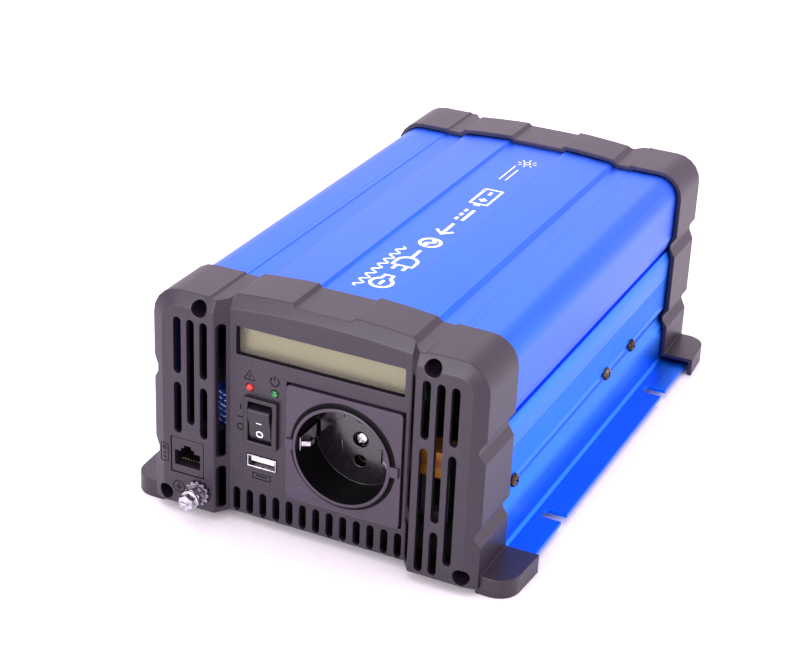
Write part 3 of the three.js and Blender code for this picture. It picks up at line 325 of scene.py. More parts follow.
def display_material():
    """An unlit reflective liquid crystal panel: greenish beige, darker towards its edges."""
    made, tree, shader, place = surface("unlit_liquid_crystal", {"Roughness": 0.45})
    centre = middle("display_window")
    half = (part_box("display_window")[1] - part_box("display_window")[0]) / 2
    spot = add(tree, "Mapping", links={"Vector": place, "Location": [-c for c in centre]})
    at = add(tree, "SeparateXYZ", links={"Vector": spot.outputs[0]})
    edges = []
    for axis, reach in (("X", half.x - 1.5 * MM), ("Z", half.z - 1.5 * MM)):
        size = add(tree, "Math", {"operation": "ABSOLUTE"}, {0: at.outputs[axis]}).outputs[0]
        left = add(tree, "Math", {"operation": "SUBTRACT"}, {0: reach, 1: size}).outputs[0]
        edges.append(left)
    nearest = add(tree, "Math", {"operation": "MINIMUM"}, {0: edges[0], 1: edges[1]}).outputs[0]
    fade = add(tree, "MapRange", links={"Value": nearest, "From Min": 0.0, "From Max": 2.2 * MM})
    film = add(tree, "TexNoise", links={"Vector": place, "Scale": 1 / (30 * MM), "Detail": 1.0})
    mixed = add(
        tree,
        "Math",
        {"operation": "MULTIPLY_ADD"},
        {0: film.outputs[0], 1: 0.25, 2: fade.outputs[0]},
    )
    colour = add(
        tree,
        "ValToRGB",
        {"stops": ((0.1, linear("#45432a")), (1.0, linear("#666443")))},
        {"Fac": mixed.outputs[0]},
    )
    tree.links.new(colour.outputs[0], shader.inputs["Base Color"])
    return made


def lens_material(name, dark, light, glow):
    """A moulded lamp lens with a faceted diffuser inside."""
    made, tree, shader, place = surface(
        name, {"Roughness": 0.12, "Emission Color": linear(light), "Emission Strength": glow}
    )
    facets = add(tree, "TexVoronoi", links={"Vector": place, "Scale": 1 / (0.8 * MM)})
    colour = add(
        tree,
        "ValToRGB",
        {"stops": ((0.1, linear(light)), (0.6, linear(dark)))},
        {"Fac": facets.outputs["Distance"]},
    )
    tree.links.new(colour.outputs[0], shader.inputs["Base Color"])
    bump = add(tree, "Bump", links={"Height": facets.outputs["Distance"], "Distance": 0.05 * MM})
    tree.links.new(bump.outputs[0], shader.inputs["Normal"])
    return made


def pane_material():
    """A clear acrylic pane: almost nothing but its gloss, with faint wipe marks."""
    made, tree, shader, place = surface(
        "clear_acrylic", {"IOR": 1.49, "Alpha": 0.06, "Base Color": linear("#d9d4c4")}
    )
    wipes = add(tree, "TexNoise", links={"Vector": place, "Scale": 1 / (6 * MM), "Detail": 4.0})
    sheen = add(tree, "MapRange", links={"Value": wipes.outputs[0], "To Min": 0.03, "To Max": 0.14})
    tree.links.new(sheen.outputs[0], shader.inputs["Roughness"])
    return made


SLEEVE = sleeve_material()
BOARD = board_material()
DISPLAY = display_material()
RED_LENS = lens_material("red_lens", "#7c1218", "#ff3b3b", 0.25)
GREEN_LENS = lens_material("green_lens", "#0d3d1c", "#2fae54", 0.05)
# Screen-printed ink: flat, slightly uneven, one opaque white and one nearly black.
WHITE_INK = moulded("white_ink", "#e9ecff", "#ffffff", 0.5, 0.8, 0.01, 0.5)
DARK_INK = moulded("dark_ink", "#040304", "#08060a", 0.5, 0.8, 0.01, 0.1)
CLEAR = pane_material()

# ---- Modelling ----


def only(obj):
    """Makes one object the active and the only selected one."""
    bpy.ops.object.select_all(action="DESELECT")
    obj.select_set(True)
    bpy.context.view_layer.objects.active = obj


def applied(obj, kind, settings):
    """Adds a modifier to the active object and applies it."""
    made = obj.modifiers.new(kind, kind)
    for key, value in settings.items():
        setattr(made, key, value)
    bpy.ops.object.modifier_apply(modifier=made.name)


def finish(obj, material, modifiers=(), angle=35):
    """Applies modifiers, smooths shallow edges, keeps wide faces flat and gives the material."""
    only(obj)
    for kind, settings in modifiers:
        applied(obj, kind, settings)
    bpy.ops.object.shade_smooth_by_angle(angle=math.radians(angle))
    applied(obj, "WEIGHTED_NORMAL", {"weight": 100, "keep_sharp": True})
    obj.data.materials.clear()
    obj.data.materials.append(material)
    return obj


def rounding(width, segments=2, angle=30, clamped=False):
    """A bevel of the given width in mm along edges sharper than the angle."""
    return (
        "BEVEL",
        {
            "width": width * MM,
            "segments": segments,
            "limit_method": "ANGLE",
            "angle_limit": math.radians(angle),
            "use_clamp_overlap": clamped,
        },
    )


def attach(obj, name, body="case", stands_for=()):
    """Names a piece, rides it on a body, and hides the CAD nodes it stands for."""
    obj.name = name
    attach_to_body(obj, body)
    if stands_for:
        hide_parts(*stands_for)
    return obj


def softened(
    node, material, width=0.35, segments=2, body="case", angle=30, paired=True, clamped=False
):
    """The CAD shape with its edges rounded as a mould or die leaves them.

    paired joins flat triangles two by two before the bevel, which suits most shapes.
    """
    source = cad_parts[node]
    made = bpy.data.objects.new(node + "_finished", source.data.copy())
    bpy.context.scene.collection.objects.link(made)
    only(made)
    bpy.ops.object.mode_set(mode="EDIT")
    bpy.ops.mesh.select_all(action="SELECT")
    bpy.ops.mesh.remove_doubles(threshold=0.05 * MM)
    bpy.ops.mesh.beautify_fill(angle_limit=math.radians(1))
    if paired:
        bpy.ops.mesh.tris_convert_to_quads(
            face_threshold=math.radians(1), shape_threshold=math.radians(180)
        )
    bpy.ops.object.mode_set(mode="OBJECT")
    finish(made, material, [rounding(width, segments, angle, clamped)], angle + 3)
    return attach(made, node + "_finished", body, [node])


def turned(profile, sides=48):
    """A round solid about the Y axis, drawn out ring by ring from (radius, y) pairs in mm."""
    bpy.ops.object.select_all(action="DESELECT")
    (radius, y), rest = profile[0], profile[1:]
    bpy.ops.mesh.primitive_circle_add(vertices=sides, radius=radius * MM, fill_type="NGON")
    made = bpy.context.active_object
    bpy.ops.object.mode_set(mode="EDIT")
    bpy.ops.mesh.select_all(action="SELECT")
    bpy.ops.transform.translate(value=(0, 0, y * MM))
    for next_radius, next_y in rest:
        rise = (0, 0, (next_y - y) * MM)
        bpy.ops.mesh.extrude_region_move(TRANSFORM_OT_translate={"value": rise})
        share = next_radius / radius
        bpy.ops.transform.resize(value=(share, share, 1), center_override=(0, 0, next_y * MM))
        radius, y = next_radius, next_y
    bpy.ops.mesh.select_all(action="SELECT")
    bpy.ops.mesh.normals_make_consistent(inside=False)
    bpy.ops.object.mode_set(mode="OBJECT")
    # The ring axis lies along Y.
    made.data.transform(Matrix.Rotation(math.radians(-90), 4, "X"))
    return made


def block(low, high):
    """A box between two corners, in metres."""
    bpy.ops.object.select_all(action="DESELECT")
    low, high = Vector(low), Vector(high)
    bpy.ops.mesh.primitive_cube_add(size=1, location=(low + high) / 2, scale=high - low)
    bpy.ops.object.transform_apply(location=True, rotation=True, scale=True)
    return bpy.context.active_object


def rod(centre, radius, y0, y1, sides=32):
    """A straight rod along Y; centre gives X and Z, in metres."""
    bpy.ops.object.select_all(action="DESELECT")
    bpy.ops.mesh.primitive_cylinder_add(
        vertices=sides,
        radius=radius,
        depth=abs(y1 - y0),
        location=(centre[0], (y0 + y1) / 2, centre[1]),
        rotation=(math.radians(90), 0, 0),
    )
    bpy.ops.object.transform_apply(location=True, rotation=True, scale=True)
    return bpy.context.active_object


def corners_rounded(obj, radius, segments):
    """Rounds the edges that run along Y, with the radius in mm."""
    only(obj)
    bpy.ops.object.mode_set(mode="EDIT")
    shape = bmesh.from_edit_mesh(obj.data)
    for edge in shape.edges:
        first, second = (v.co for v in edge.verts)
        edge.select = abs(first.y - second.y) > 1 * MM
    bmesh.update_edit_mesh(obj.data)
    bpy.ops.mesh.bevel(offset=radius * MM, segments=segments, affect="EDGES")
    bpy.ops.object.mode_set(mode="OBJECT")
    return obj


def moved(obj, offset):
    obj.data.transform(Matrix.Translation(Vector(offset)))
    return obj


def carve(body, tool, operation="DIFFERENCE"):
    """Cuts or joins one solid with another, which is used up."""
    only(body)
    made = body.modifiers.new("carve", "BOOLEAN")
    made.object = tool
    made.operation = operation
    made.solver = "EXACT"
    bpy.ops.object.modifier_apply(modifier=made.name)
    bpy.data.objects.remove(tool)
    return body


def joined(parts):
    only(parts[0])
    for part in parts:
        part.select_set(True)
    bpy.ops.object.join()
    return bpy.context.active_object


def duplicate(obj):
    made = bpy.data.objects.new(obj.name + "_copy", obj.data.copy())
    bpy.context.scene.collection.objects.link(made)
    return made


def circle_points(x, y, radius, start=0, end=360, steps=28):
    points = []
    for i in range(steps + 1):
        angle = math.radians(start + (end - start) * i / steps)
        points.append((x + radius * math.cos(angle), y + radius * math.sin(angle)))
    return points


def printed(strokes, width, place, material, name, height=0.05):
    """Ink strokes in mm on a plane, laid where place puts them. Each stroke is a list of points."""
    curve = bpy.data.curves.new(name, "CURVE")
    curve.dimensions = "3D"
    curve.bevel_depth = 0.5
    curve.bevel_resolution = 1
    curve.use_fill_caps = True
    for points in strokes:
        spline = curve.splines.new("POLY")
        spline.points.add(len(points) - 1)
        for point, (x, y) in zip(spline.points, points):
            point.co = (x / width, y / width, 0, 1)
    obj = bpy.data.objects.new(name, curve)
    bpy.context.scene.collection.objects.link(obj)
    only(obj)
    bpy.ops.object.convert(target="MESH")
    obj = bpy.context.active_object
    flat = Matrix.Diagonal((width * MM, width * MM, 2 * height * MM, 1))
    obj.data.transform(place @ flat)
    finish(obj, material)
    return attach(obj, name)


def facing_front(x, y, z):
    """A drawing plane on the front: its X to the right, its Y up."""
    return Matrix.Translation((x, y, z)) @ Matrix.Rotation(math.radians(90), 4, "X")


# ---- Case ----


def shade_painted_inside(section):
    """Paints the inner faces of a case section near-black: painted shade, so the vents look into
    darkness.
    """
    section.data.materials.append(PAINTED_SHADE_FILM)
    for polygon in section.data.polygons:
        out = Vector((polygon.center.x, 0, polygon.center.z - 50 * MM))
        inner = abs(polygon.center.x) < 68.5 * MM and polygon.center.z > 4.5 * MM
        if inner and polygon.normal.dot(out.normalized()) < -0.2:
            polygon.material_index = 1


shade_painted_inside(softened("top_cover", BLUE_COVER, 0.25, clamped=True))
shade_painted_inside(softened("base_extrusion", BLUE_BASE, 0.15, clamped=True))


def slot_shade_sheet():
    """A folded near-black sheet behind the lower slots: painted shade, so the slots look into
    darkness.
    """
    upright = block((-60 * MM, -113.1 * MM, 3.6 * MM), (60 * MM, -112.4 * MM, 17 * MM))
    tray = block((-60 * MM, -121.2 * MM, 3.6 * MM), (60 * MM, -112.4 * MM, 4.2 * MM))
    carve(upright, tray, "UNION")
    for side in (-1, 1):
        near, far = sorted((side * 42.5 * MM, side * 60.5 * MM))
        wing = block((near, -127.2 * MM, 3.6 * MM), (far, -118 * MM, 4.2 * MM))
        carve(upright, wing, "UNION")
    made = finish(upright, PAINTED_SHADE_FILM, [rounding(0.2, 2)])
    attach(made, "front_slot_shade_sheet")


slot_shade_sheet()

INK_LIFT = 0.02 * MM
CROWN_BAND = 98.2 * MM  # the flat middle band of the cover, between its two steps
SCORE_X = 49.6 * MM


def score_lines():
    """The fine bead that the die leaves beside each outer groove."""
    low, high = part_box("top_cover")
    z = 96.4 * MM
    beads = []
    for side in (-1, 1):
        beads.append(
            block(
                (side * SCORE_X - 0.12 * MM, low.y, z - 0.3 * MM),
                (side * SCORE_X + 0.12 * MM, high.y, z + 0.06 * MM),
            )
        )
    made = finish(joined(beads), BLUE_BASE, [rounding(0.04, 1)])
    attach(made, "cover_die_lines")


score_lines()


def cross_screw(head, height, shank, length):
    """A pan-head screw along +Y with its cross recess at y = 0."""
    dome = [
        (head * 0.25, 0),
        (head * 0.55, 0.05),
        (head * 0.8, height * 0.2),
        (head * 0.95, height * 0.45),
        (head, height * 0.75),
        (head, height),
        (shank, height),
    ]
    thread = []
    y = height + 0.6
    while y < length - 1:
        thread += [(shank, y), (shank * 1.18, y + 0.25), (shank, y + 0.5)]
        y += 0.7
    made = turned([*dome, *thread, (shank * 0.8, length - 0.4), (shank * 0.3, length)], 24)
    arm = head * 0.6 * MM
    slim = head * 0.13 * MM
    deep = height * 0.55 * MM
    for size in ((arm, slim), (slim, arm)):
        tool = block((-size[0], -1 * MM, -size[1]), (size[0], deep, size[1]))
        carve(made, tool)
    return made


def side_screws():
    model = cross_screw(3.0, 1.9, 1.5, 8.4)
    for name, side in (("left", -1), ("right", 1)):
        for index in (1, 2, 3):
            node = f"side_screw_{name}_{index}"
            low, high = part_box(node)
            centre = (low + high) / 2
            made = duplicate(model)
            made.data.transform(Matrix.Rotation(math.radians(side * 90 + index * 37), 4, "Y"))
            made.data.transform(Matrix.Rotation(math.radians(side * 90), 4, "Z"))
            face = high.x if side > 0 else low.x
            moved(made, (face, centre.y, centre.z))
            finish(made, BLACK_ZINC)
            attach(made, node + "_finished", stands_for=[node])
    bpy.data.objects.remove(model)


def cap_screws():
    model = cross_screw(2.9, 2.4, 1.45, 19.8)
    for end in ("front", "rear"):
        for corner in ("lower_left", "lower_right", "upper_left", "upper_right"):
            node = f"{end}_screw_{corner}"
            low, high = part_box(node)
            centre = (low + high) / 2
            made = duplicate(model)
            turn = 0 if end == "front" else 180
            made.data.transform(Matrix.Rotation(math.radians(turn), 4, "Z"))
            moved(made, (centre.x, low.y if end == "front" else high.y, centre.z))
            finish(made, BLACK_ZINC)
            attach(made, node + "_finished", stands_for=[node])
    bpy.data.objects.remove(model)


side_screws()
cap_screws()

# ---- End caps ----

softened("front_cap", CAP_ABS, 0.35, angle=19)
softened("rear_cap", CAP_ABS, 0.3, angle=19, paired=False)

# ---- Pictograms in place of lettering ----


def top_pictograms():
    """White symbols along the cover, from the battery to the lamp, with a wave line and a sun."""
    crown = Matrix.Translation((4.0 * MM, 0, CROWN_BAND))
    # Drawing X runs towards the front end, drawing Y towards +X.
    turn = Matrix(((0, 1, 0, 0), (-1, 0, 0, 0), (0, 0, 1, 0), (0, 0, 0, 1)))
    place = crown @ turn
    battery = [
        [(-33, -4), (-15, -4), (-15, 4), (-33, 4), (-33, -4), (-30, -4)],
        [(-13.4, -1.5), (-13.4, 1.5)],
        [(-30, 0), (-26.4, 0)],
        [(-21.8, 0), (-18.2, 0)],
        [(-20, -1.8), (-20, 1.8)],
    ]
    direct = [
        [(-7, 1.6), (6, 1.6)],
        [(-7, -1.6), (-4.2, -1.6)],
        [(-1.9, -1.6), (0.9, -1.6)],
        [(3.2, -1.6), (6, -1.6)],
    ]
    arrow = [[(11, 0), (23.5, 0)], [(19.6, -3.8), (23.8, 0), (19.6, 3.8)]]
    ring = [
        circle_points(34.5, 0, 4.4, 0, 375, 30),
        [(31.7 + 5.6 * i / 16, 1.7 * math.sin(math.tau * i / 16)) for i in range(17)],
    ]
    plug = [
        circle_points(57, 0, 4.4, 90, 270, 14) + [(61.5, -4.4), (61.5, 4.4), (56.6, 4.4)],
        [(61.5, 2.3), (66, 2.3)],
        [(61.5, -2.3), (66, -2.3)],
        [(52.4, 0), (44, 0)],
    ]
    lamp = [
        circle_points(80.2, 0, 4.5, 205, 515, 24),
        [(76, -1.9), (72.6, -1.9), (72.6, 1.9), (76, 1.9)],
        [(78, 0), (82.3, 0)],
    ]
    strokes = battery + direct + arrow + ring + plug + lamp
    printed(strokes, 1.5, place, WHITE_INK, "cover_symbols")
    lower = crown @ Matrix.Translation((-7.7 * MM, 0, 0)) @ turn
    ripple = [[(44 + 44 * i / 160, 1.5 * math.sin(math.tau * i / 20)) for i in range(161)]]
    printed(ripple, 0.9, lower, WHITE_INK, "cover_wave_line")
    upper = crown @ Matrix.Translation((-1.2 * MM, 0, 0)) @ turn
    rays = [
        [(-47, -2.6), (-66, -2.6)],
        [(-47, 0.4), (-62, 0.4)],
        circle_points(-71.5, 1, 1.5, steps=12),
    ]
    for i in range(8):
        angle = math.tau * i / 8
        away = Vector((math.cos(angle), math.sin(angle)))
        rays.append([(-71.5 + reach * away.x, 1 + reach * away.y) for reach in (2.8, 4.6)])
    printed(rays, 0.6, upper, WHITE_INK, "cover_sun_symbol")


def panel_pictograms():
    """Small dark symbols beside the lamps, switch, ports and earth stud."""
    warning = [[(-2.4, -1.9), (2.4, -1.9), (0, 2.3), (-2.4, -1.9)], [(0, -1.2), (0, 0.7)]]
    power = [circle_points(0, 0, 1.9, 120, 420), [(0, 0.3), (0, 2.6)]]
    on_off = [circle_points(0, -4.4, 1.3), [(-1.3, 0), (1.3, 0)], [(0, 3.2), (0, 5.8)]]
    port = [[(-4, -1.2), (4, -1.2), (4, 1.2), (-4, 1.2), (-4, -1.2)], [(-2.6, 0.2), (2.6, 0.2)]]
    handset = [
        [(-1.6, -4), (1.6, -4), (1.6, 4), (-1.6, 4), (-1.6, -4)],
        circle_points(0, 2.2, 0.7, steps=12),
        [(-0.7, -0.5), (0.7, -0.5)],
        [(-0.7, -2.2), (0.7, -2.2)],
    ]
    earth = [
        circle_points(0, 0, 2.6),
        [(0, 1.9), (0, 0)],
        [(-1.6, 0), (1.6, 0)],
        [(-1.0, -0.75), (1.0, -0.75)],
        [(-0.4, -1.5), (0.4, -1.5)],
    ]
    usb, jack = middle("usb_shell"), middle("remote_jack")
    lamp_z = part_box("fault_lamp")[1].z + 3.3 * MM
    # Name, strokes, line width in mm, and the place in X, Y and Z.
    symbols = (
        ("fault_symbol", warning, 0.55, middle("fault_lamp").x, PANEL, lamp_z),
        ("power_symbol", power, 0.55, middle("power_lamp").x, PANEL, lamp_z),
        ("switch_symbol", on_off, 0.55, ROCKER.x - 9.6 * MM, PANEL, ROCKER.z),
        ("port_symbol", port, 0.55, usb.x, PANEL, usb.z - 6.4 * MM),
        ("remote_symbol", handset, 0.5, jack.x - 10.4 * MM, COLUMN, jack.z),
        ("earth_symbol", earth, 0.45, EARTH.x - 9.3 * MM, COLUMN, EARTH.z),
    )
    for name, strokes, width, x, y, z in symbols:
        printed(strokes, width, facing_front(x, y - INK_LIFT, z), DARK_INK, name)


top_pictograms()
panel_pictograms()

# ---- Front fittings ----


def outlet_body():
    """A square plate with a slim raised rim, which flares to the plate outside, and a deep well."""
    x, z = OUTLET.x, OUTLET.z
    half = 25 * MM  # of the plate's side
    face = PANEL - 1.2 * MM  # the plate stands proud of the panel
    rim = OUTLET_RIM
    floor = WELL_FLOOR
    plate = block((x - half, face, z - half), (x + half, PANEL + 2.4 * MM, z + half))
    corners_rounded(plate, 1.6, 5)
    back = rod((x, z), 21.7 * MM, rim + 3 * MM, floor + 4 * MM, 96)
    carve(plate, back, "UNION")
    lift = (face - rim) / MM
    flare = turned(
        [
            (20.3, 0), (20.8, 0.06), (21.15, 0.25), (21.35, 0.55), (21.6, 1.0), (22.0, lift - 0.35),
            (22.6, lift - 0.06), (23.2, lift + 0.1), (23.2, lift + 1.2),
        ],
        120,
    )
    moved(flare, (x, rim, z))
    carve(plate, flare, "UNION")
    for side in (-1, 1):
        low, high = sorted((x + side * 24.4 * MM, x + side * 20.6 * MM))
        rib = block((low, rim + 0.35 * MM, z - 2.2 * MM), (high, face + 1 * MM, z + 2.2 * MM))
        carve(plate, rib, "UNION")
    carve(plate, rod((x, z), 19.75 * MM, rim - 2 * MM, floor, 120))
    # Pin holes are 19 mm apart, and the earth strap's ways lie level with the centre.
    for side in (-1, 1):
        hole = rod((x, z + side * 9.5 * MM), 2.6 * MM, floor - 1 * MM, floor + 6 * MM)
        carve(plate, hole)
        near, far = sorted((x + side * 17.9 * MM, x + side * 20.4 * MM))
        way = block((near, rim + 2.4 * MM, z - 3.4 * MM), (far, floor + 5 * MM, z + 3.4 * MM))
        carve(plate, way)
    carve(plate, rod((x, z), 3.4 * MM, floor - 1 * MM, floor + 2 * MM))
    finish(plate, OUTLET_FACE, [rounding(0.25, 2, 35)])
    # Painted shade: the well's wall and the flare outside the rim take the near-black material, for
    # the dark well and the rim's shadow on the plate.
    plate.data.materials.append(PAINTED_SHADE_BLACK)
    plate.data.materials.append(BLACK_GLOSS)
    for polygon in plate.data.polygons:
        corners = [plate.data.vertices[index].co for index in polygon.vertices]
        aways = [Vector((corner.x - x, 0, corner.z - z)).length for corner in corners]
        inside = max(aways) < 20.3 * MM and polygon.center.y > rim + 0.3 * MM
        flared = min(aways) > 20.95 * MM and max(aways) < 23.75 * MM
        if inside and polygon.normal.y < -0.9:
            polygon.material_index = 2
        elif inside or flared and abs(polygon.center.z - z) > 2.25 * MM:
            polygon.material_index = 1
    attach(plate, "outlet_finished", stands_for=["socket_body"])


outlet_body()


def outlet_inner_marks():
    """Ribs moulded on the well's floor beside the pin holes, which keep a plug from rocking."""
    x, z = OUTLET.x, OUTLET.z
    floor = WELL_FLOOR
    bars = []
    for side in (-1, 1):
        for lift in (-1, 1):
            bars.append(
                block(
                    (x + side * 8.5 * MM, floor - 0.7 * MM, z + lift * 8 * MM),
                    (x + side * 8.5 * MM + 1.1 * MM, floor + 0.2 * MM, z + lift * 8 * MM + 6 * MM),
                )
            )
    made = finish(joined(bars), BLACK_GLOSS, [rounding(0.2, 2)])
    attach(made, "outlet_floor_ribs")


outlet_inner_marks()

softened("socket_earth_strap", NICKEL, 0.2)
softened("socket_contact_upper", GILT, 0.1)
softened("socket_contact_lower", GILT, 0.1)


def earth_springs():
    """The bent ends of the earth strap, which stand into the well and press on a plug's sides."""
    x, z = OUTLET.x, OUTLET.z
    top = OUTLET_RIM + 3.0 * MM
    bottom = top + 7 * MM
    for name, side in (("left", -1), ("right", 1)):
        tip = x + side * 15.6 * MM
        near, far = sorted((x + side * 19.5 * MM, tip))
        tab = block((near, top, z - 1.4 * MM), (far, bottom, z + 0.8 * MM))
        # The tip leans back into the well.
        for at, shift in ((top, 2.2 * MM), (bottom, -1.5 * MM)):
            only(tab)
            bpy.ops.object.mode_set(mode="EDIT")
            bpy.ops.mesh.select_all(action="DESELECT")
            bpy.ops.object.mode_set(mode="OBJECT")
            for corner in tab.data.vertices:
                away = max(abs(corner.co.x - tip), abs(corner.co.y - at))
                corner.select = away < 0.1 * MM
            bpy.ops.object.mode_set(mode="EDIT")
            bpy.ops.transform.translate(value=(0, shift, 0))
            bpy.ops.object.mode_set(mode="OBJECT")
        finish(tab, NICKEL, [rounding(0.3, 3)])
        attach(tab, "earth_spring_" + name)


earth_springs()


def outlet_screw():
    made = cross_screw(2.9, 1.6, 1.5, 8.9)
    low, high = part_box("socket_screw")
    centre = (low + high) / 2
    made.data.transform(Matrix.Rotation(math.radians(25), 4, "Y"))
    moved(made, (centre.x, low.y, centre.z))
    finish(made, NICKEL)
    attach(made, "socket_screw_finished", stands_for=["socket_screw"])


outlet_screw()

softened("switch_frame", SWITCH_NYLON, 0.45, paired=False)
softened("rocker", SWITCH_NYLON, 0.4, 3, "switch_rocker")


def rocker_marks():
    """The off ring and the on bar, inked on the rocker's two faces."""
    low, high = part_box("rocker")
    marks = (
        ("rocker_off_mark", [circle_points(0, 0, 1.35)], 3.7, 1.64, -0.197),
        ("rocker_on_mark", [[(-1.2, 0), (1.2, 0)]], 8.9, 0.95, -0.317),
    )
    for name, strokes, rise, setback, lean in marks:
        at = Matrix.Translation((ROCKER.x, low.y + setback * MM, low.z + rise * MM))
        # Leaned so that the ink lies along the face.
        face = at @ Matrix.Rotation(math.radians(90) + math.asin(-lean), 4, "X")
        made = printed(strokes, 0.55, face, WHITE_INK, name, 0.22)
        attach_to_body(made, "switch_rocker")


rocker_marks()

softened("usb_shell", NICKEL, 0.2)
softened("usb_tongue", WHITE_NYLON, 0.15)
softened("remote_jack", JACK_NYLON, 0.25)
softened("remote_jack_contacts", GILT, 0.08)
softened("display_window", CLEAR, 0.3)


def display_shade_frame():
    """A near-black frame round the pane, wider at its left and bottom, with small rounded corners:
    painted shade for the pane's recessed reveal.
    """
    half, low, high = 36.25 * MM, 75.55 * MM, 87.45 * MM
    y0, y1 = PANEL + 1.0 * MM, PANEL + 1.5 * MM
    ring = block((-half, y0, low), (half, y1, high))
    hole = block(
        (-half + 0.9 * MM, y0 - MM, low + 0.6 * MM), (half - 0.3 * MM, y1 + MM, high - 0.2 * MM)
    )
    carve(ring, corners_rounded(hole, 1.0, 4))
    finish(ring, PAINTED_SHADE_FILM, [rounding(0.1, 1)])
    attach(ring, "display_shade_frame")


display_shade_frame()
softened("display_module", DISPLAY, 0.3)


def lamps():
    """Domed lenses with a flange behind the panel."""
    kinds = (("fault_lamp", RED_LENS, "red_lens"), ("power_lamp", GREEN_LENS, "green_lens"))
    angles = [math.radians(a) for a in (12, 30, 50, 70, 90)]
    dome = [(1.5 * math.sin(a), 0.9 * (1 - math.cos(a))) for a in angles]
    for node, lens, slot in kinds:
        low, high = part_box(node)
        centre = (low + high) / 2
        length = (high.y - low.y) / MM
        made = turned([*dome, (1.5, 3.7), (2.0, 3.7), (2.0, length)], 32)
        moved(made, (centre.x, low.y, centre.z))
        finish(made, lens)
        attach(made, node + "_finished", stands_for=[node])


lamps()


def hexagon(flats, y0, y1):
    """A six-sided block about Y with both ends' corners turned off."""
    made = rod((0, 0), flats / math.sqrt(3) * MM, y0 * MM, y1 * MM, 6)
    tip, waist = flats * 0.5, flats * 0.62
    cone = turned([(tip, y0), (waist, y0 + 0.6), (waist, y1 - 0.6), (tip, y1)], 48)
    return carve(made, cone, "INTERSECT")


def earth_stud():
    """A slotted hex screw with a washer face, a nut and a toothed lock washer under it."""
    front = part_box("earth_screw")[0].y
    head = hexagon(6, 0, 3.2)
    carve(head, block((-1.9 * MM, -1 * MM, -0.45 * MM), (1.9 * MM, 1.2 * MM, 0.45 * MM)))
    flange = turned([(2.9, 2.9), (3.8, 3.1), (3.9, 3.5), (3.8, 3.9), (1.8, 3.9)], 40)
    thread = []
    y = 4.0
    while y < 12.5:
        thread += [(1.65, y), (1.95, y + 0.25), (1.65, y + 0.5)]
        y += 0.7
    shank = turned([(1.6, 3.5), *thread, (1.6, 18.6), (1.2, 19)], 28)
    made = moved(joined([head, flange, shank]), (EARTH.x, front, EARTH.z))
    finish(made, NICKEL, [rounding(0.08, 1, 40)])
    attach(made, "earth_screw_finished", stands_for=["earth_screw"])
    low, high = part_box("earth_nut")
    nut = hexagon(7, 0, (high.y - low.y) / MM)
    carve(nut, rod((0, 0), 2.1 * MM, -1 * MM, 6 * MM, 24))
    moved(nut, (EARTH.x, low.y, EARTH.z))
    finish(nut, NICKEL, [rounding(0.1, 1, 40)])
    attach(nut, "earth_nut_finished", stands_for=["earth_nut"])


earth_stud()
softened("earth_lock_washer", DULL_NICKEL, 0.1)

# ---- Rear fittings ----

softened("fan_frame", BLACK_NYLON, 0.3, clamped=True)
softened("fan_rotor", BLACK_NYLON, 0.25, 2, "fan")


def terminals():
    """Battery studs: ribbed insulators, threaded studs and hex nuts on washers."""
    poles = (("positive", RED_NYLON, "red_plastic"), ("negative", BLACK_NYLON, "black_plastic"))
    for pole, plastic, slot in poles:
        node = "terminal_stud_" + pole
        centre = middle("terminal_insulator_" + pole)
        low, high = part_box(node)
        ridges = []
        y = 0.0
        length = (high.y - REAR) / MM + 13
        while y < length - 1:
            ridges += [(2.5, y + 0.5), (2.9, y + 0.9), (2.5, y + 1.3)]
            y += 1.0
        stud = turned([(2.2, 0), *ridges, (2.1, length)], 32)
        stud.data.transform(Matrix.Rotation(math.pi, 4, "Z"))
        moved(stud, (centre.x, high.y, centre.z))
        tab = block(
            (centre.x - 5 * MM, low.y, centre.z - 5 * MM),
            (centre.x + 5 * MM, low.y + 3 * MM, centre.z + 5 * MM),
        )
        made = finish(joined([stud, tab]), BRASS, [rounding(0.06, 1, 50)])
        attach(made, node + "_finished", stands_for=[node])
        softened("terminal_insulator_" + pole, plastic, 0.3)
        softened("terminal_nut_" + pole, NICKEL, 0.25)


terminals()

# ---- Inside ----

softened("choke_coil", AMBER_TAPE, 0.8, 3)
softened("choke_core", FERRITE, 0.4)
softened("transformer_winding", AMBER_TAPE, 1.0, 3)
softened("transformer_core", FERRITE, 0.5)
softened("toroid_winding", COPPER_WIRE, 0.6, 3)
softened("toroid_core", FERRITE, 0.5)
for node in ("input_capacitor_1", "input_capacitor_2", "output_capacitor"):
    softened(node, SLEEVE, 0.3, 2)
for node in ("main_board", "control_board", "display_board"):
    softened(node, BOARD, 0.1, 1)
for side in ("left", "right"):
    softened("heatsink_" + side, MILL_ALUMINIUM, 0.2, 1)
    softened("transistor_" + side, BLACK_NYLON, 0.15, 1)

# ---- Floor, light and camera ----


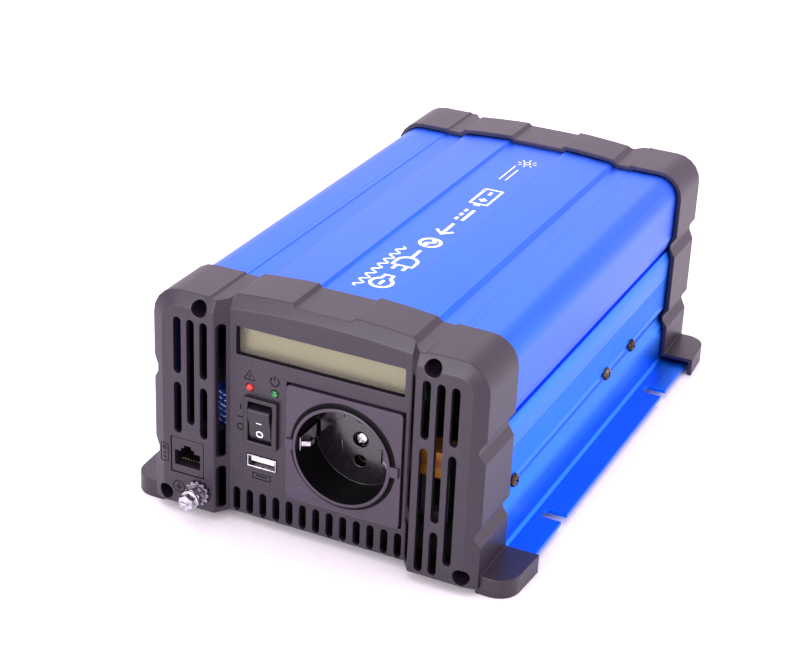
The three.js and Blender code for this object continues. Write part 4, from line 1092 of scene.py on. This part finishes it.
def studio():
    """A pale floor in a bright white room with four soft lights."""
    bpy.ops.object.select_all(action="DESELECT")
    bpy.ops.mesh.primitive_plane_add(size=6)
    floor = bpy.context.active_object
    floor.name = "floor"
    paper, tree, shader, place = surface("pale_paper", {"Roughness": 0.6})
    tooth = add(tree, "TexNoise", links={"Vector": place, "Scale": 1 / (3 * MM)})
    colour = add(
        tree,
        "ValToRGB",
        {"stops": ((0.3, linear("#f2f4f2")), (0.7, linear("#f7f9f7")))},
        {"Fac": tooth.outputs[0]},
    )
    tree.links.new(colour.outputs[0], shader.inputs["Base Color"])
    floor.data.materials.append(paper)
    world = bpy.data.worlds.new("studio")
    bpy.context.scene.world = world
    world.use_nodes = True
    background = world.node_tree.nodes["Background"]
    background.inputs["Color"].default_value = linear("#ffe9ff")
    background.inputs["Strength"].default_value = 1.5
    # Name, place, aim, size in metres, power in watts.
    lights = [
        ("overhead", (-0.3, 0.2, 1.4), (0, 0, 0), 1.4, 7),
        ("behind", (-0.9, 1.7, 1.1), (0, 0, 0.05), 1.6, 3),
        ("right", (1.5, 0.4, 0.7), (0, 0, 0.05), 1.0, 8),
        ("front", (-0.3, -1.7, 0.5), (0, 0, 0.05), 1.0, 24),
    ]
    for name, at, to, size, power in lights:
        data = bpy.data.lights.new(name, "AREA")
        data.size = size
        data.energy = power
        lamp = bpy.data.objects.new(name, data)
        lamp.location = at
        lamp.rotation_euler = (Vector(to) - Vector(at)).to_track_quat("-Z", "Y").to_euler()
        bpy.context.scene.collection.objects.link(lamp)


CAMERA_AT = (0.29482, -0.69365, 0.40842)
CAMERA_ANGLES = (24.53, 25.864, 2.605)  # azimuth, elevation and roll in degrees
FOCAL_LENGTH = 84.33  # mm, for a sensor 36 mm wide


def camera():
    """The view from the front right, a little above, with a slight roll."""
    azimuth, elevation, roll = (math.radians(a) for a in CAMERA_ANGLES)
    back = Vector(
        (
            math.sin(azimuth) * math.cos(elevation),
            -math.cos(azimuth) * math.cos(elevation),
            math.sin(elevation),
        )
    )
    level = Vector((math.cos(azimuth), math.sin(azimuth), 0))
    upright = back.cross(level)
    right = level * math.cos(roll) + upright * math.sin(roll)
    up = upright * math.cos(roll) - level * math.sin(roll)
    data = bpy.data.cameras.new("camera")
    data.sensor_width = 36
    data.lens = FOCAL_LENGTH
    data.clip_start = 0.05
    made = bpy.data.objects.new("camera", data)
    turn = Matrix((right, up, back)).transposed().to_4x4()
    made.matrix_world = Matrix.Translation(CAMERA_AT) @ turn
    bpy.context.scene.collection.objects.link(made)
    bpy.context.scene.camera = made


studio()
camera()
bpy.context.scene.view_settings.view_transform = "Standard"
